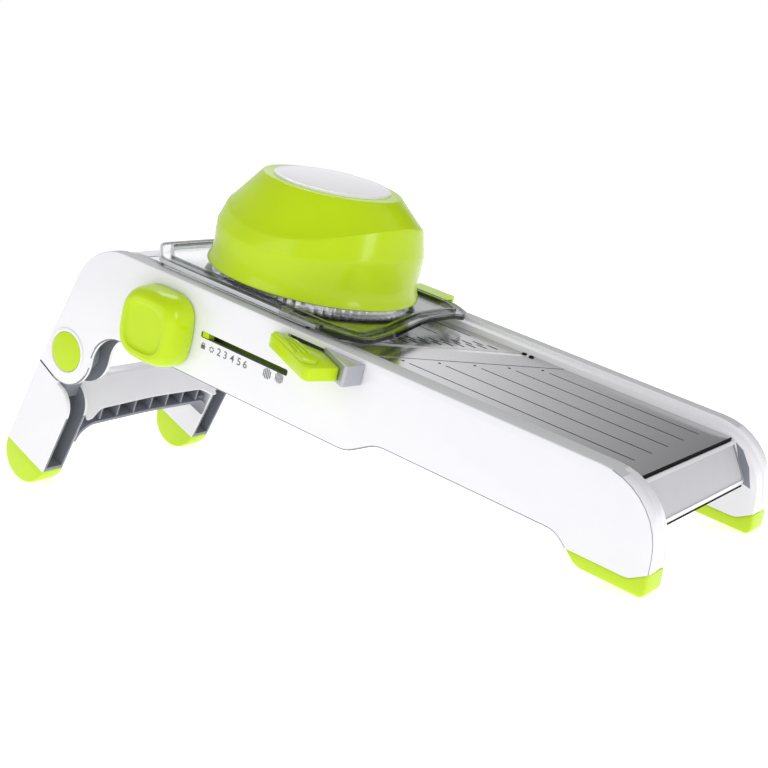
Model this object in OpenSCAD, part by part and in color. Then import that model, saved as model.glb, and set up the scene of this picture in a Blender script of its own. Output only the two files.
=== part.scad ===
// Adjustable mandoline slicer with a fold-out rear stand, a side dial, a julienne lever
// and a domed pusher on a clear carriage. Millimetres, +Z up, +X towards the low end.
// Body pieces are drawn level, along a rail that runs down-slope on +X, and are tilted last.

/* [Rail and body] */
// Slope of the rails when the stand is folded out, in degrees
rail_tilt = 15.8; // [13:0.1:18]
// Width over both side frames
body_w = 130; // [124:1:150]
// Thickness of one side frame, across the body
frame_t = 15.6; // [14.5:0.1:17]
// Height of a side frame from the rail top to its lower edge
frame_h = 43.8; // [42:0.2:47]
// Height of a side frame along its slimmer low half
frame_low_h = 34.8; // [32:0.2:37]
// Plastic wall of the side frames
wall = 2.2; // [1.8:0.1:2.6]
// Radius of the rounded upper corner at the high end
high_end_r = 30; // [24:1:34]
// Radius of the rounded upper corner at the low end
low_end_r = 31; // [24:1:34]
// Depth of the carriage ledge below the rail top
ledge_drop = 1.6; // [1.2:0.1:2]
// Width of the carriage ledge
ledge_w = 7.4; // [6.5:0.1:8]
// Distance from the middle of the rail to its high end
high_end_u = 126; // [122:1:134]
// Distance from the middle of the rail to the front of the low feet
low_end_u = 199.5; // [196:1:215]
// Depth of the low foot sole below the rail top
sole_drop = 45.2; // [43:0.2:47]
// Height of the coloured pad on a low foot
pad_h = 5.7; // [4:0.1:7]

/* [Stand] */
// Distance of the stand pivot from the middle of the rail, up-slope
pivot_u = 132.8; // [130:0.2:135]
// Depth of the stand pivot below the rail top
pivot_drop = 61.8; // [60:0.2:64]
// Radius of the round boss about the stand pivot
boss_r = 17.6; // [16.5:0.1:18.5]
// Radius of the stand hinge pins
pin_r = 4; // [3:0.1:5]
// Radius of the coloured cap over a hinge pin
pivot_cap_r = 10.6; // [9:0.1:12]
// Lean of the legs from the vertical, in degrees
leg_lean = 32.8; // [30:0.2:36]
// Half the width of a leg, seen from the side
leg_half_w = 15.7; // [14.5:0.1:16.5]
// Thickness of a leg, across the body
leg_t = 14.8; // [13.5:0.1:15]
// Plastic wall of the stand
leg_wall = 2.2; // [1.8:0.1:2.6]
// Number of ribs under the crossbar
bar_ribs = 7; // [5:1:9]

/* [Slicing deck] */
// Depth of the steel plates below the rail top
plate_drop = 4.3; // [4:0.1:5]
// Thickness of the steel plates
plate_t = 0.8; // [0.6:0.1:1]
// Thickness of the blade
blade_t = 1; // [0.8:0.1:1.2]
// Length of the blade strip along the rail
blade_w = 21; // [18:0.5:24]
// Skew of the cutting edge, in degrees
blade_skew = 28.7; // [24:0.1:32]
// Distance of the cutting edge's near end from the middle of the rail
edge_u = 14.3; // [12:0.1:18]
// Gap between the ramp and the cutting edge
edge_gap = 0.8; // [0.6:0.1:1.2]
// Distance of the outfeed plate's low end from the middle of the rail
plate_end_u = 177.7; // [176:0.1:180]
// Spacing of the grooves across the plates
groove_pitch = 16.8; // [15:0.1:17.5]
// Number of grooves in the outfeed plate
grooves = 5; // [3:1:5]
// Width of a groove
groove_w = 0.9; // [0.6:0.1:1.2]
// Spacing of the julienne slits across the ramp
slit_pitch = 5.6; // [5.2:0.1:6.5]
// Length of a julienne slit
slit_l = 6; // [5:0.1:6.5]
// Largest slice thickness, the travel of the ramp
slice_max = 6; // [4:0.5:6]

/* [Dial and lever] */
// Width of the dial, a rounded square
dial_w = 37.6; // [33:0.2:38]
// How far the dial stands out of the side frame
dial_out = 16; // [13:0.5:20]
// Distance of the dial axis from the middle of the rail, up-slope
dial_u = 69; // [68:0.1:70]
// Depth of the dial axis below the rail top
dial_drop = 24.6; // [24:0.1:24.8]
// Tooth module of the pinion and the rack
gear_mod = 1; // [0.9:0.05:1.05]
// Teeth of the pinion
pinion_teeth = 20; // [18:1:20]
// Full turn of the dial from lock to the last mark, in degrees
dial_turn = 270; // [240:5:270]
// How far the lever stands out of the side frame
lever_out = 25; // [20:0.5:30]
// Height of the lever grip
lever_h = 7.8; // [6.5:0.1:9]
// Travel of the julienne lever
lever_travel = 20; // [16:1:21]
// Rise of the julienne comb
comb_rise = 4; // [3:0.1:4.4]

/* [Carriage and pusher] */
// How far the clear tray reaches past the dome's rim, up-slope
tray_back_l = 17; // [14:0.5:20]
// How far the clear tray reaches past the dome's rim, down-slope
tray_front_l = 11; // [10:0.5:14]
// Distance of the carriage centre from the middle of the rail, up-slope
grip_u = 36; // [34:0.5:40]
// Thickness of the tray
tray_t = 2; // [1.6:0.1:2.6]
// Distance from the dome's rim in to the food opening
rim_over = 12; // [11.5:0.1:14]
// Height of the tray's guide sleeve
sleeve_h = 33; // [28:1:34]
// Distance from the outer face of a side frame in to the dome's rim
rim_margin = 11; // [9.5:0.1:12]
// Height of the dome from its rim to its flat top
dome_h = 48.5; // [47:0.5:54]
// Radius of the dome's flat top
crown_r = 33.5; // [31:0.5:36]
// Wall of the dome
dome_wall = 2; // [1.6:0.1:2.2]
// Radius of the pale cap on the dome
cap_r = 29; // [26:0.5:30.5]

/* [Fits] */
// Clearance between pieces that slide or lie by each other
gap = 0.3; // [0.25:0.05:0.4]
// Radial clearance of a shaft in its bore
shaft_gap = 0.05; // [0.03:0.01:0.08]

/* [Hidden] */
$fn = 64;

lime = "yellowgreen";
steel = "silver";
eps = 0.01;

out_y = body_w / 2;                       // outer face of a side frame
in_y = out_y - frame_t;                   // inner face of a side frame
skin_y = out_y - wall;                    // inner side of the outer skin
inner_skin_y = in_y + wall;               // inner side of the inner skin
deck_v = -plate_drop - plate_t;           // underside of the plates
plate_half = in_y - 0.8;                  // half width of the steel plates
rim_r = out_y - rim_margin;               // radius of the dome's rim
food_r = rim_r - rim_over;                // radius of the food opening

// Height of the rail's middle: the rounded corner of the low foot stands on z = 0
toe_r = 3;
rail_z = toe_r + (low_end_u - toe_r) * sin(rail_tilt) + (sole_drop - toe_r) * cos(rail_tilt);

function world_x(u, v) = u * cos(rail_tilt) + v * sin(rail_tilt);
function world_z(u, v) = rail_z - u * sin(rail_tilt) + v * cos(rail_tilt);

pivot_x = world_x(-pivot_u, -pivot_drop);
pivot_z = world_z(-pivot_u, -pivot_drop);
// Side offset of the leg's centre line, and the length that puts its round foot on the floor
leg_side = 0.9;
leg_len = (pivot_z - leg_half_w - leg_side * sin(leg_lean)) / cos(leg_lean);

// The origin lies on the floor, in the middle of the whole object's box
low_x = pivot_x - leg_len * sin(leg_lean) + leg_side * cos(leg_lean) - leg_half_w;
front_lean = 4.5;
front_slope = atan(front_lean / sole_drop);
nose_u = low_end_u - front_lean + low_end_r * tan(front_slope) - low_end_r / cos(front_slope);
high_x = world_x(nose_u, -low_end_r) + low_end_r;
clip_t = 1.6;
shift_x = -(low_x + high_x) / 2;
shift_y = (lever_out - gap - clip_t) / 2;

module rail() {
    translate([shift_x, shift_y, rail_z]) rotate([0, rail_tilt, 0]) children();
}

module leg_frame() {
    // X runs down the leg from the pivot, Z towards its front
    translate([pivot_x + shift_x, shift_y, pivot_z]) rotate([0, 90 + leg_lean, 0]) children();
}

// Extrudes a side view, drawn in X and Z, from y0 to y1
module side_slab(y0, y1) {
    translate([0, y1, 0]) rotate([90, 0, 0]) linear_extrude(y1 - y0) children();
}

module cross_rod(u, v, y0, y1, r) {
    translate([u, y1, v]) rotate([90, 0, 0]) cylinder(r = r, h = y1 - y0);
}

module box(u0, u1, y0, y1, v0, v1) {
    translate([u0, y0, v0]) cube([u1 - u0, y1 - y0, v1 - v0]);
}

// Corner [x, y, r] between its neighbours, as the points of its fillet
function unit(p) = p / norm(p);
function fillet(a, b, c, n = 10) =
    let (
        p = [b[0], b[1]], ta = unit([a[0], a[1]] - p), tc = unit([c[0], c[1]] - p),
        half = acos(max(-1, min(1, ta * tc))) / 2,
        centre = p + unit(ta + tc) * b[2] / sin(half),
        from = p + ta * b[2] / tan(half) - centre,
        to = p + tc * b[2] / tan(half) - centre,
        sweep = acos(max(-1, min(1, from * to / (b[2] * b[2])))),
        side = sign(from[0] * to[1] - from[1] * to[0])
    )
    [for (i = [0:n]) let (t = side * sweep * i / n)
        centre + [from[0] * cos(t) - from[1] * sin(t), from[0] * sin(t) + from[1] * cos(t)]];
function rounded(c) = let (n = len(c))
    [for (i = [0:n - 1]) each (c[i][2] == 0 ? [[c[i][0], c[i][1]]]
        : fillet(c[(i + n - 1) % n], c[i], c[(i + 1) % n]))];

// Back edge of a frame at depth v, pulled in by d
back_slope = 19.3;
function back_u(v, d = 0) = -high_end_u + v * tan(back_slope) + d / cos(back_slope);

// The stand meets the frame along a slanted seam that runs into the round boss
seam_slope = 24;
seam_v0 = -pivot_drop - boss_r / cos(seam_slope);
seam_v = (seam_v0 + (high_end_u - pivot_u) * tan(seam_slope))
    / (1 + tan(back_slope) * tan(seam_slope));
boss_end_u = boss_r - pivot_u;
foot_u = low_end_u - 31.5;

// Side view of a frame, with its top and both ends pulled in by d
module frame_outline(d = 0) {
    polygon(rounded([
        [back_u(-d, d), -d, high_end_r - d],
        [back_u(seam_v, d), seam_v, 0],
        [boss_end_u, seam_v0 - boss_r * tan(seam_slope), boss_r],
        [boss_end_u, -frame_h, pivot_drop - frame_h],
        [48.5, -frame_h, 16], [63.5, -frame_low_h, 16],
        [foot_u - 12.5, -frame_low_h, 12], [foot_u, -sole_drop, 8],
        [low_end_u, -sole_drop, toe_r],
        [low_end_u - front_lean - d, -d, low_end_r - d]
    ]));
}

// Hollow of a frame, open along its lower edge and closed above the foot
hollow_top = ledge_drop + wall;
hollow_u = foot_u - 20;
module frame_hollow() {
    polygon(rounded([
        [back_u(-hollow_top, wall), -hollow_top, high_end_r - hollow_top],
        [back_u(-100, wall), -100, 0],
        [hollow_u, -100, 0],
        [hollow_u, pad_h + wall - sole_drop, 0],
        [low_end_u - wall, pad_h + wall - sole_drop, 1],
        [low_end_u - front_lean - wall, -hollow_top, low_end_r - hollow_top]
    ]));
}

// The coloured pad takes the bottom of the low foot
module pad_zone() {
    translate([foot_u - 14, -sole_drop - 1])
        square([low_end_u - foot_u + 20, pad_h + 1]);
}

pin_track_u = 47;
pin_spacing = 48;
pin_guide_u = [-pin_track_u, -pin_track_u - pin_spacing];
pin_drop = 31;
pin_w = 3;
rack_travel = PI * gear_mod * pinion_teeth * dial_turn / 360;
cap_depth = 1.4;

// One side frame, on the +Y side
module side_frame() {
    difference() {
        union() {
            side_slab(in_y + ledge_w, out_y) frame_outline();
            side_slab(in_y, in_y + ledge_w + eps) frame_outline(ledge_drop);
            cross_rod(-pivot_u, -pivot_drop, in_y - 1, in_y + wall, pin_r + 5);
        }
        side_slab(inner_skin_y, skin_y) frame_hollow();
        side_slab(in_y - 2, out_y + 1) pad_zone();
        cross_rod(-pivot_u, -pivot_drop, in_y - 2, out_y + 1, pin_r);
        cross_rod(-pivot_u, -pivot_drop, out_y - cap_depth, out_y + 1, pivot_cap_r);
        // upright guides for the ramp's pins
        for (u = pin_guide_u)
            box(u - pin_w / 2 - gap / 2, u + pin_w / 2 + gap / 2, in_y - 1, inner_skin_y + 1,
                -pin_drop - slice_max - pin_w / 2 - gap, -pin_drop + pin_w / 2 + gap);
    }
}

pointer_u = 45.2;
pointer_w = 4;
window_drop = 21;
window_h = 3.1;
shaft_r = 4;
tongue_u = 28;
tongue_w = 17;
tongue_drop = 6;
tongue_h = 2.6;

module near_side_frame() color("white") rail() difference() {
    mirror([0, 1, 0]) side_frame();
    // window of the thickness pointer
    box(-pointer_u - gap, -pointer_u + pointer_w + rack_travel + 2.6, -out_y - 1, -skin_y + eps,
        -window_drop - window_h / 2, -window_drop + window_h / 2);
    // bores of the dial's shaft
    cross_rod(-dial_u, -dial_drop, -out_y - 1, -skin_y + eps, shaft_r + shaft_gap);
    cross_rod(-dial_u, -dial_drop, -inner_skin_y - eps, -in_y + 1, shaft_r - 1 + shaft_gap);
    // slot of the julienne lever
    box(tongue_u - lever_travel - gap, tongue_u + tongue_w + gap, -out_y - 1, -skin_y + eps,
        -tongue_drop - tongue_h / 2 - gap, -tongue_drop + tongue_h / 2 + gap);
}

module far_side_frame() color("white") rail() side_frame();

module foot_pad() {
    side_slab(in_y, out_y) intersection() {
        frame_outline();
        pad_zone();
    }
}
module near_low_foot() color(lime) rail() mirror([0, 1, 0]) foot_pad();
module far_low_foot() color(lime) rail() foot_pad();

// Closes the body between the frames at the high end
bridge_inset = 14;
bridge_u = high_end_u - bridge_inset;
module high_end_bridge() color("white") rail() {
    box(-bridge_u, -bridge_u + 2.4, -in_y, in_y, -frame_h + 10, -plate_drop);
    box(-bridge_u - 6, -bridge_u, -in_y, in_y, -plate_drop - 3, -plate_drop);
}

// Distance along the rail of the cutting edge at y, moved down-slope by d
function edge_at(y, d = 0) = edge_u + (y + plate_half) * tan(blade_skew) + d;

deck_t = 2.4;
deck_skirt = 14;
cover_lean = 34;
module outfeed_deck() color("whitesmoke") rail() difference() {
    union() {
        translate([0, 0, deck_v - deck_t]) linear_extrude(deck_t) polygon([
            [edge_at(-in_y, 5), -in_y], [plate_end_u, -in_y],
            [plate_end_u, in_y], [edge_at(in_y, 5), in_y]
        ]);
        for (side = [-1, 1])
            translate([0, side * (in_y - wall / 2), 0])
                box(edge_at(side * in_y, 10), plate_end_u - 4, -wall / 2, wall / 2,
                    deck_v - deck_skirt, deck_v - deck_t + eps);
        for (k = [0:4])
            box(74 + k * 22, 76 + k * 22, -in_y, in_y, deck_v - deck_skirt / 2,
                deck_v - deck_t + eps);
    }
    for (p = screw_spots) translate([p[0], p[1], deck_v - deck_t - 1])
        cylinder(r = screw_r, h = deck_t + 2);
}

module outfeed_plate() color(steel) rail() difference() {
    translate([0, 0, deck_v]) linear_extrude(plate_t) polygon([
        [edge_at(-plate_half, blade_w + 0.4), -plate_half], [plate_end_u, -plate_half],
        [plate_end_u, plate_half], [edge_at(plate_half, blade_w + 0.4), plate_half]
    ]);
    for (k = [0:grooves - 1]) let (y = (k - (grooves - 1) / 2) * groove_pitch)
        box(edge_at(y, blade_w + 8), plate_end_u - 10, y - groove_w / 2, y + groove_w / 2,
            deck_v + plate_t / 2, 0);
}

cover_h = 20;
cover_t = 7;
module end_cover() color("white") rail() {
    // a slanting bar that leans out towards its lower edge
    side_slab(-in_y, in_y) polygon([
        [plate_end_u + 1.3, -plate_drop - 1.2],
        [plate_end_u + 1.3 + cover_h * sin(cover_lean), -plate_drop - 1.2 - cover_h * cos(cover_lean)],
        [plate_end_u + 1.3 + cover_h * sin(cover_lean) - cover_t,
            -plate_drop - 1.2 - cover_h * cos(cover_lean)],
        [plate_end_u + 1.3 - cover_t + 2, deck_v - deck_t - 3],
        [plate_end_u, deck_v - deck_t - 1],
        [plate_end_u, -plate_drop - 1.2]
    ]);
}

screw_r = 1;
screw_spots = [for (s = [-1, 1], d = [7, 11]) [edge_at(s * (plate_half - 2.4), d), s * (plate_half - 2.4)]];
module slicing_blade() color(steel) rail() difference() {
    translate([0, 0, deck_v]) linear_extrude(blade_t) polygon([
        [edge_at(-plate_half), -plate_half], [edge_at(-plate_half, blade_w), -plate_half],
        [edge_at(plate_half, blade_w), plate_half], [edge_at(plate_half), plate_half]
    ]);
    for (p = screw_spots) translate([p[0], p[1], deck_v - 1])
        cylinder(r = screw_r, h = blade_t + 2);
    // ground bevel under the cutting edge
    translate([edge_at(0), 0, deck_v]) rotate([0, 0, -blade_skew]) side_slab(-body_w, body_w)
        polygon([[-1, -1], [1.3 * blade_t, -1], [1.3 * blade_t, 0], [0, 0.7 * blade_t],
            [-1, 0.7 * blade_t]]);
}

module blade_screws() color("gray") rail() for (p = screw_spots) {
    translate([p[0], p[1], deck_v - deck_t - 0.6]) cylinder(r = screw_r, h = deck_t + 0.6 + blade_t);
    translate([p[0], p[1], deck_v + blade_t]) cylinder(r = screw_r + 0.5, h = 0.5);
}

ramp_top_u = bridge_u - 3.4;
slit_w = 1;
slits = floor((2 * plate_half - 14) / slit_pitch);
// The two staggered rows of slits run beside the cutting edge
row_back = [4.5, 10];
function slit_y(k, row) = (k - (slits - 1) / 2) * slit_pitch - row * slit_pitch / 2 + 1;

module ramp_plate() color(steel) rail() difference() {
    translate([0, 0, deck_v]) linear_extrude(plate_t) polygon([
        [-ramp_top_u, -plate_half], [edge_at(-plate_half, -edge_gap), -plate_half],
        [edge_at(plate_half, -edge_gap), plate_half], [-ramp_top_u, plate_half]
    ]);
    for (row = [0, 1], k = [0:slits - 1])
        let (y = slit_y(k, row), u = edge_at(y, -edge_gap - row_back[row]))
            box(u - slit_l, u, y - slit_w / 2, y + slit_w / 2, deck_v - 1, 0);
    for (k = [0:4]) let (y = 41 - k * groove_pitch)
        box(-ramp_top_u + 10, edge_at(y, -26), y - groove_w / 2, y + groove_w / 2,
            deck_v + plate_t / 2, 0);
}

skirt_y = in_y - gap;                     // outer face of the ramp's skirts
skirt_t = 3;
carrier_t = 2.4;
comb_w = 13;
module ramp_carrier() color("whitesmoke") rail() {
    // plate, stopping short of the slits
    translate([0, 0, deck_v - carrier_t]) linear_extrude(carrier_t) polygon([
        [-ramp_top_u, -skirt_y], [edge_at(-skirt_y, -comb_w - 8), -skirt_y],
        [edge_at(skirt_y, -comb_w - 8), skirt_y], [-ramp_top_u, skirt_y]
    ]);
    for (side = [-1, 1]) {
        y0 = side < 0 ? -skirt_y : skirt_y - skirt_t;
        box(-ramp_top_u, edge_at(side * skirt_y, -edge_gap), y0, y0 + skirt_t,
            -plate_drop - deck_skirt, deck_v);
        // cheek that carries the guide pins
        box(pin_guide_u[1] - 6, pin_guide_u[0] + 6, y0, y0 + skirt_t,
            -pin_drop - 4, -plate_drop - deck_skirt + eps);
        for (u = pin_guide_u)
            if (side < 0 && u == pin_guide_u[0])
                cross_rod(u, -pin_drop, -cam_y - cam_t, -skirt_y + eps, pin_w / 2);
            else
                cross_rod(u, -pin_drop, side < 0 ? -inner_skin_y : skirt_y - eps,
                    side < 0 ? -skirt_y + eps : inner_skin_y, pin_w / 2);
    }
    for (k = [0:2])
        box(-90 + k * 30, -88 + k * 30, -skirt_y + 1, skirt_y - 1, deck_v - 8, deck_v - carrier_t + eps);
}

// Dial, shaft and rack
dial_edge = 5;
module squircle(w, n = 64) {
    polygon([for (i = [0:n - 1]) let (a = 360 * i / n)
        w / 2 * [sign(cos(a)) * pow(abs(cos(a)), 0.66), sign(sin(a)) * pow(abs(sin(a)), 0.66)]]);
}

module at_dial(y) {
    translate([-dial_u, y, -dial_drop]) rotate([90, 0, 0]) children();
}

panel_inset = 14;
module dial() color(lime) rail() difference() {
    hull() {
        at_dial(-out_y - gap) linear_extrude(1) squircle(dial_w);
        at_dial(-out_y - gap) linear_extrude(dial_out - dial_edge) squircle(dial_w - 1.2);
        at_dial(-out_y - gap) linear_extrude(dial_out - gap - 1) squircle(dial_w - 5);
        at_dial(-out_y - gap) linear_extrude(dial_out - gap) squircle(dial_w - 8);
    }
    // shallow panel in the front, and the hollow behind
    at_dial(-out_y - dial_out + 0.8) linear_extrude(2) squircle(dial_w - panel_inset);
    at_dial(-out_y + 1) linear_extrude(dial_out - 4) difference() {
        squircle(dial_w - 6);
        circle(r = shaft_r + 3);
    }
    cross_rod(-dial_u, -dial_drop, -out_y - dial_out + 5, -out_y + 1, shaft_r);
}

pinion_r = gear_mod * pinion_teeth / 2;
pinion_t = 4.4;
pinion_y = skin_y - gap;
rack_v = -dial_drop - pinion_r;           // pitch line of the rack
backlash = 0.3;

function involute(rb, a) = rb * [cos(a) + PI / 180 * a * sin(a), sin(a) - PI / 180 * a * cos(a)];
function turned(p, a) = [p[0] * cos(a) - p[1] * sin(a), p[0] * sin(a) + p[1] * cos(a)];
function flank(rb, ra, n = 5) = let (a1 = sqrt(ra * ra / (rb * rb) - 1) * 180 / PI)
    [for (i = [0:n]) involute(rb, a1 * i / n)];

module pinion_shape(r, m, z) {
    pressure = 20;
    rb = r * cos(pressure);
    half = 90 / z - backlash / 2 / r * 180 / PI / 2 + (tan(pressure) * 180 / PI - pressure);
    circle(r = r - 1.25 * m);
    for (k = [0:z - 1]) rotate(k * 360 / z)
        polygon(concat(
            [[r - 1.6 * m, -m / 2]],
            [for (p = flank(rb, r + 0.9 * m)) turned(p, -half)],
            [for (i = [5:-1:0]) let (p = flank(rb, r + 0.9 * m)[i]) turned([p[0], -p[1]], half)],
            [[r - 1.6 * m, m / 2]]
        ));
}

module dial_shaft() color("dimgray") rail() {
    cross_rod(-dial_u, -dial_drop, -out_y - dial_out + 5, -pinion_y + pinion_t, shaft_r);
    cross_rod(-dial_u, -dial_drop, -pinion_y + pinion_t - eps, -in_y - 0.2, shaft_r - 1);
    // a tooth gap faces straight down, where the rack's tooth meets it
    translate([-dial_u, -pinion_y + pinion_t, -dial_drop]) rotate([90, 0, 0])
        linear_extrude(pinion_t)
            rotate(-90 + 180 / pinion_teeth) pinion_shape(pinion_r, gear_mod, pinion_teeth);
}

cam_t = 3;
cam_y = inner_skin_y + 0.6;
rack_h = 5;
module rack_tooth() {
    half_top = PI * gear_mod / 4 - backlash / 4 - 0.9 * gear_mod * tan(20);
    half_root = PI * gear_mod / 4 - backlash / 4 + 1.25 * gear_mod * tan(20);
    polygon([[-half_root, -1.25 * gear_mod], [-half_top, 0.9 * gear_mod],
        [half_top, 0.9 * gear_mod], [half_root, -1.25 * gear_mod]]);
}

module pointer_rack() color(lime) rail() {
    tooth = PI * gear_mod;
    teeth = ceil(rack_travel / tooth) + 4;
    bar_v = rack_v - 1.25 * gear_mod;
    bar_u0 = -dial_u - (teeth - 1.5) * tooth;
    difference() {
        union() {
            side_slab(-pinion_y - 0.2, -cam_y - cam_t + eps) {
                translate([bar_u0, bar_v - rack_h]) square([-pointer_u + pointer_w - bar_u0, rack_h + eps]);
                for (k = [0:teeth - 1])
                    translate([-dial_u + (2 - k) * tooth, rack_v]) rack_tooth();
            }
            // cam plate that lowers the ramp
            box(pin_guide_u[0] - rack_travel - 5, pin_guide_u[0] + 5, -cam_y - cam_t, -cam_y,
                bar_v - rack_h, -dial_drop - shaft_r - gap);
        }
        side_slab(-cam_y - cam_t - 1, -cam_y + 1) hull() {
            translate([pin_guide_u[0], -pin_drop]) circle(r = pin_w / 2 + gap / 2, $fn = 32);
            translate([pin_guide_u[0] - rack_travel, -pin_drop - slice_max])
                circle(r = pin_w / 2 + gap / 2, $fn = 32);
        }
    }
    // pointer arm, and its tab in the window
    box(-pointer_u, -pointer_u + pointer_w, -pinion_y - 0.2, -pinion_y + 2, bar_v - 1,
        -window_drop + window_h / 2 - gap);
    box(-pointer_u, -pointer_u + pointer_w, -out_y + 0.4, -pinion_y,
        -window_drop - window_h / 2 + gap, -window_drop + window_h / 2 - gap);
}

// Julienne lever: a silver arm through the slot, with a lime thumb grip on its slanting face
arm_u0 = tongue_u - 2;
arm_u1 = tongue_u + tongue_w + 4;
arm_top = -ledge_drop - 0.6;
arm_h = 9.6;
arm_out = lever_out * 0.5;
grip_top = arm_top - 0.8;
grip_l = 36;
module lever_arm() color(steel) rail() {
    translate([0, 0, arm_top - arm_h]) linear_extrude(arm_h) polygon([
        [arm_u0, -out_y - gap], [arm_u0 + 18, -out_y - arm_out + 2.5],
        [arm_u1 - 3, -out_y - arm_out], [arm_u1 - 0.6, -out_y - arm_out + 0.8],
        [arm_u1, -out_y - arm_out + 3], [arm_u1, -out_y - gap]
    ]);
    box(tongue_u, tongue_u + tongue_w, -out_y - gap - eps, -skin_y + gap + 1,
        -tongue_drop - tongue_h / 2, -tongue_drop + tongue_h / 2);
    box(tongue_u - 2, tongue_u + tongue_w + 2, -skin_y + gap, -skin_y + gap + 3,
        -tongue_drop - tongue_h / 2 - 7, -hollow_top - gap);
}

module lever_grip() color(lime) rail() difference() {
    translate([0, 0, grip_top - lever_h]) linear_extrude(lever_h) polygon(rounded([
        [arm_u0 - grip_l * 0.7, -out_y - 1.2, 1.5],
        [arm_u0 - grip_l * 0.68, -out_y - 5.6, 1.5],
        [arm_u0 + 9, -out_y - lever_out, 1.2],
        [arm_u0 + 12.4, -out_y - lever_out + 0.6, 1.2],
        [arm_u0 + 17.5, -out_y - arm_out + 2.2 + 0.02, 0],
        [arm_u0 - 0.3, -out_y - gap - 0.02, 0],
        [arm_u0 - 6, -out_y - 0.5, 0]
    ]));
    // thumb ridges on the top
    for (k = [0:3]) translate([arm_u0 - 18 + k * 6.5, -out_y - 4 - k * 3.4, grip_top])
        rotate([0, 0, -28]) rotate([0, 90, 0]) cylinder(r = 0.6, h = 11, center = true);
}

comb_t = 2.4;
comb_wall_t = 0.5;
comb_v = deck_v - comb_rise - 0.4;        // top of the comb's bar at rest
comb_mid = -edge_gap - (row_back[0] + row_back[1] + slit_l) / 2;
module julienne_comb() color(steel) rail() {
    comb_half = skirt_y - skirt_t - gap;
    translate([0, 0, comb_v - comb_t]) linear_extrude(comb_t) polygon([
        [edge_at(-comb_half, comb_mid - comb_w / 2), -comb_half],
        [edge_at(-comb_half, comb_mid + comb_w / 2), -comb_half],
        [edge_at(comb_half, comb_mid + comb_w / 2), comb_half],
        [edge_at(comb_half, comb_mid - comb_w / 2), comb_half]
    ]);
    for (row = [0, 1], k = [0:slits - 1])
        let (y = slit_y(k, row), u = edge_at(y, -edge_gap - row_back[row]))
            if (abs(y) < comb_half - 1)
                box(u - slit_l + gap, u - gap, y - comb_wall_t / 2, y + comb_wall_t / 2,
                    comb_v - eps, -plate_drop - 0.2);
}

// Stand: two channel legs and a ribbed crossbar, drawn in the leg's own frame:
// X down the leg from the pivot, Z towards its front
leg_in_y = out_y - leg_t;
leg_back = leg_side - leg_half_w;
leg_front = leg_side + leg_half_w;
leg_top = boss_r + 1.4;
lug_r = 11;
seam_turn = leg_lean - seam_slope - rail_tilt;

module leg_outline(d = 0) {
    difference() {
        union() {
            polygon(rounded([
                [0, leg_back + d, 0], [leg_len, leg_back + d, 0], [leg_len, leg_front - d, 0],
                [leg_top, leg_front - d, 13], [leg_top, 2, 0], [0, 2, 0]
            ]));
            translate([leg_len, leg_side]) circle(r = leg_half_w - d);
        }
        circle(r = boss_r + 0.4);
        rotate(seam_turn) translate([-100, -100]) square([100 + boss_r + 0.4, 100]);
    }
}

module foot_half() {
    translate([leg_len, leg_side - 50]) square([100, 100]);
}

module leg() {
    difference() {
        side_slab(leg_in_y, out_y) difference() {
            leg_outline();
            foot_half();
        }
        // channel, open towards the front
        side_slab(leg_in_y + leg_wall, out_y - leg_wall)
            translate([boss_r - 4, leg_back + leg_wall])
                square([leg_len - boss_r + 4 - leg_wall, 2 * leg_half_w]);
    }
    // hinge lug inside the frame's boss, with its neck down the channel
    difference() {
        union() {
            cross_rod(0, 0, inner_skin_y + 0.4, skin_y - 0.4, lug_r);
            side_slab(inner_skin_y + 0.4, skin_y - 0.4)
                translate([0, -lug_r + 1]) square([boss_r + 8, lug_r + 6]);
            side_slab(out_y - leg_t / 2 - 1.5, out_y - leg_t / 2 + 1.5)
                translate([boss_r, leg_back + 0.5]) square([16, leg_half_w]);
        }
        cross_rod(0, 0, in_y, out_y, pin_r + shaft_gap);
    }
}

bar_top = boss_r + 1.4;
bar_depth = 20;
lip_drop = 14;
module crossbar() {
    half = leg_in_y + eps;
    side_slab(-half, half) {
        // sloping front panel, with its lip
        polygon([[bar_top, 1.5], [bar_top + lip_drop, leg_front + 0.8],
            [bar_top + lip_drop + 1.8, leg_front + 0.4], [bar_top + lip_drop + 1.6, leg_front - 1.6],
            [bar_top + 1.8, -0.5]]);
        // back wall and lower flange
        translate([bar_top, -4]) square([bar_depth, leg_wall]);
        translate([bar_top + bar_depth - leg_wall, -4]) square([leg_wall, leg_front + 2.5]);
        translate([bar_top, -4]) square([leg_wall, 6]);
    }
    intersection() {
        side_slab(-half, half) translate([bar_top + 4, -3])
            polygon([[0, 0], [bar_depth - 5, 0], [bar_depth - 5, leg_front + 1.5],
                [lip_drop - 4, leg_front + 1], [0, 6]]);
        for (k = [0:bar_ribs - 1])
            translate([bar_top, (k - (bar_ribs - 1) / 2) * 2 * half / (bar_ribs + 1), 0])
                box(0, bar_depth, -0.6, 0.6, -10, 30);
    }
}

module stand() color("white") leg_frame() {
    leg();
    mirror([0, 1, 0]) leg();
    crossbar();
}

module rear_foot() {
    side_slab(leg_in_y, out_y) intersection() {
        leg_outline();
        foot_half();
    }
}
module near_rear_foot() color(lime) leg_frame() mirror([0, 1, 0]) rear_foot();
module far_rear_foot() color(lime) leg_frame() rear_foot();

module hinge_pin() cross_rod(-pivot_u, -pivot_drop, in_y - 1.8, out_y - cap_depth, pin_r);
module near_hinge_pin() color(steel) rail() mirror([0, 1, 0]) hinge_pin();
module far_hinge_pin() color(steel) rail() hinge_pin();

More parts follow.
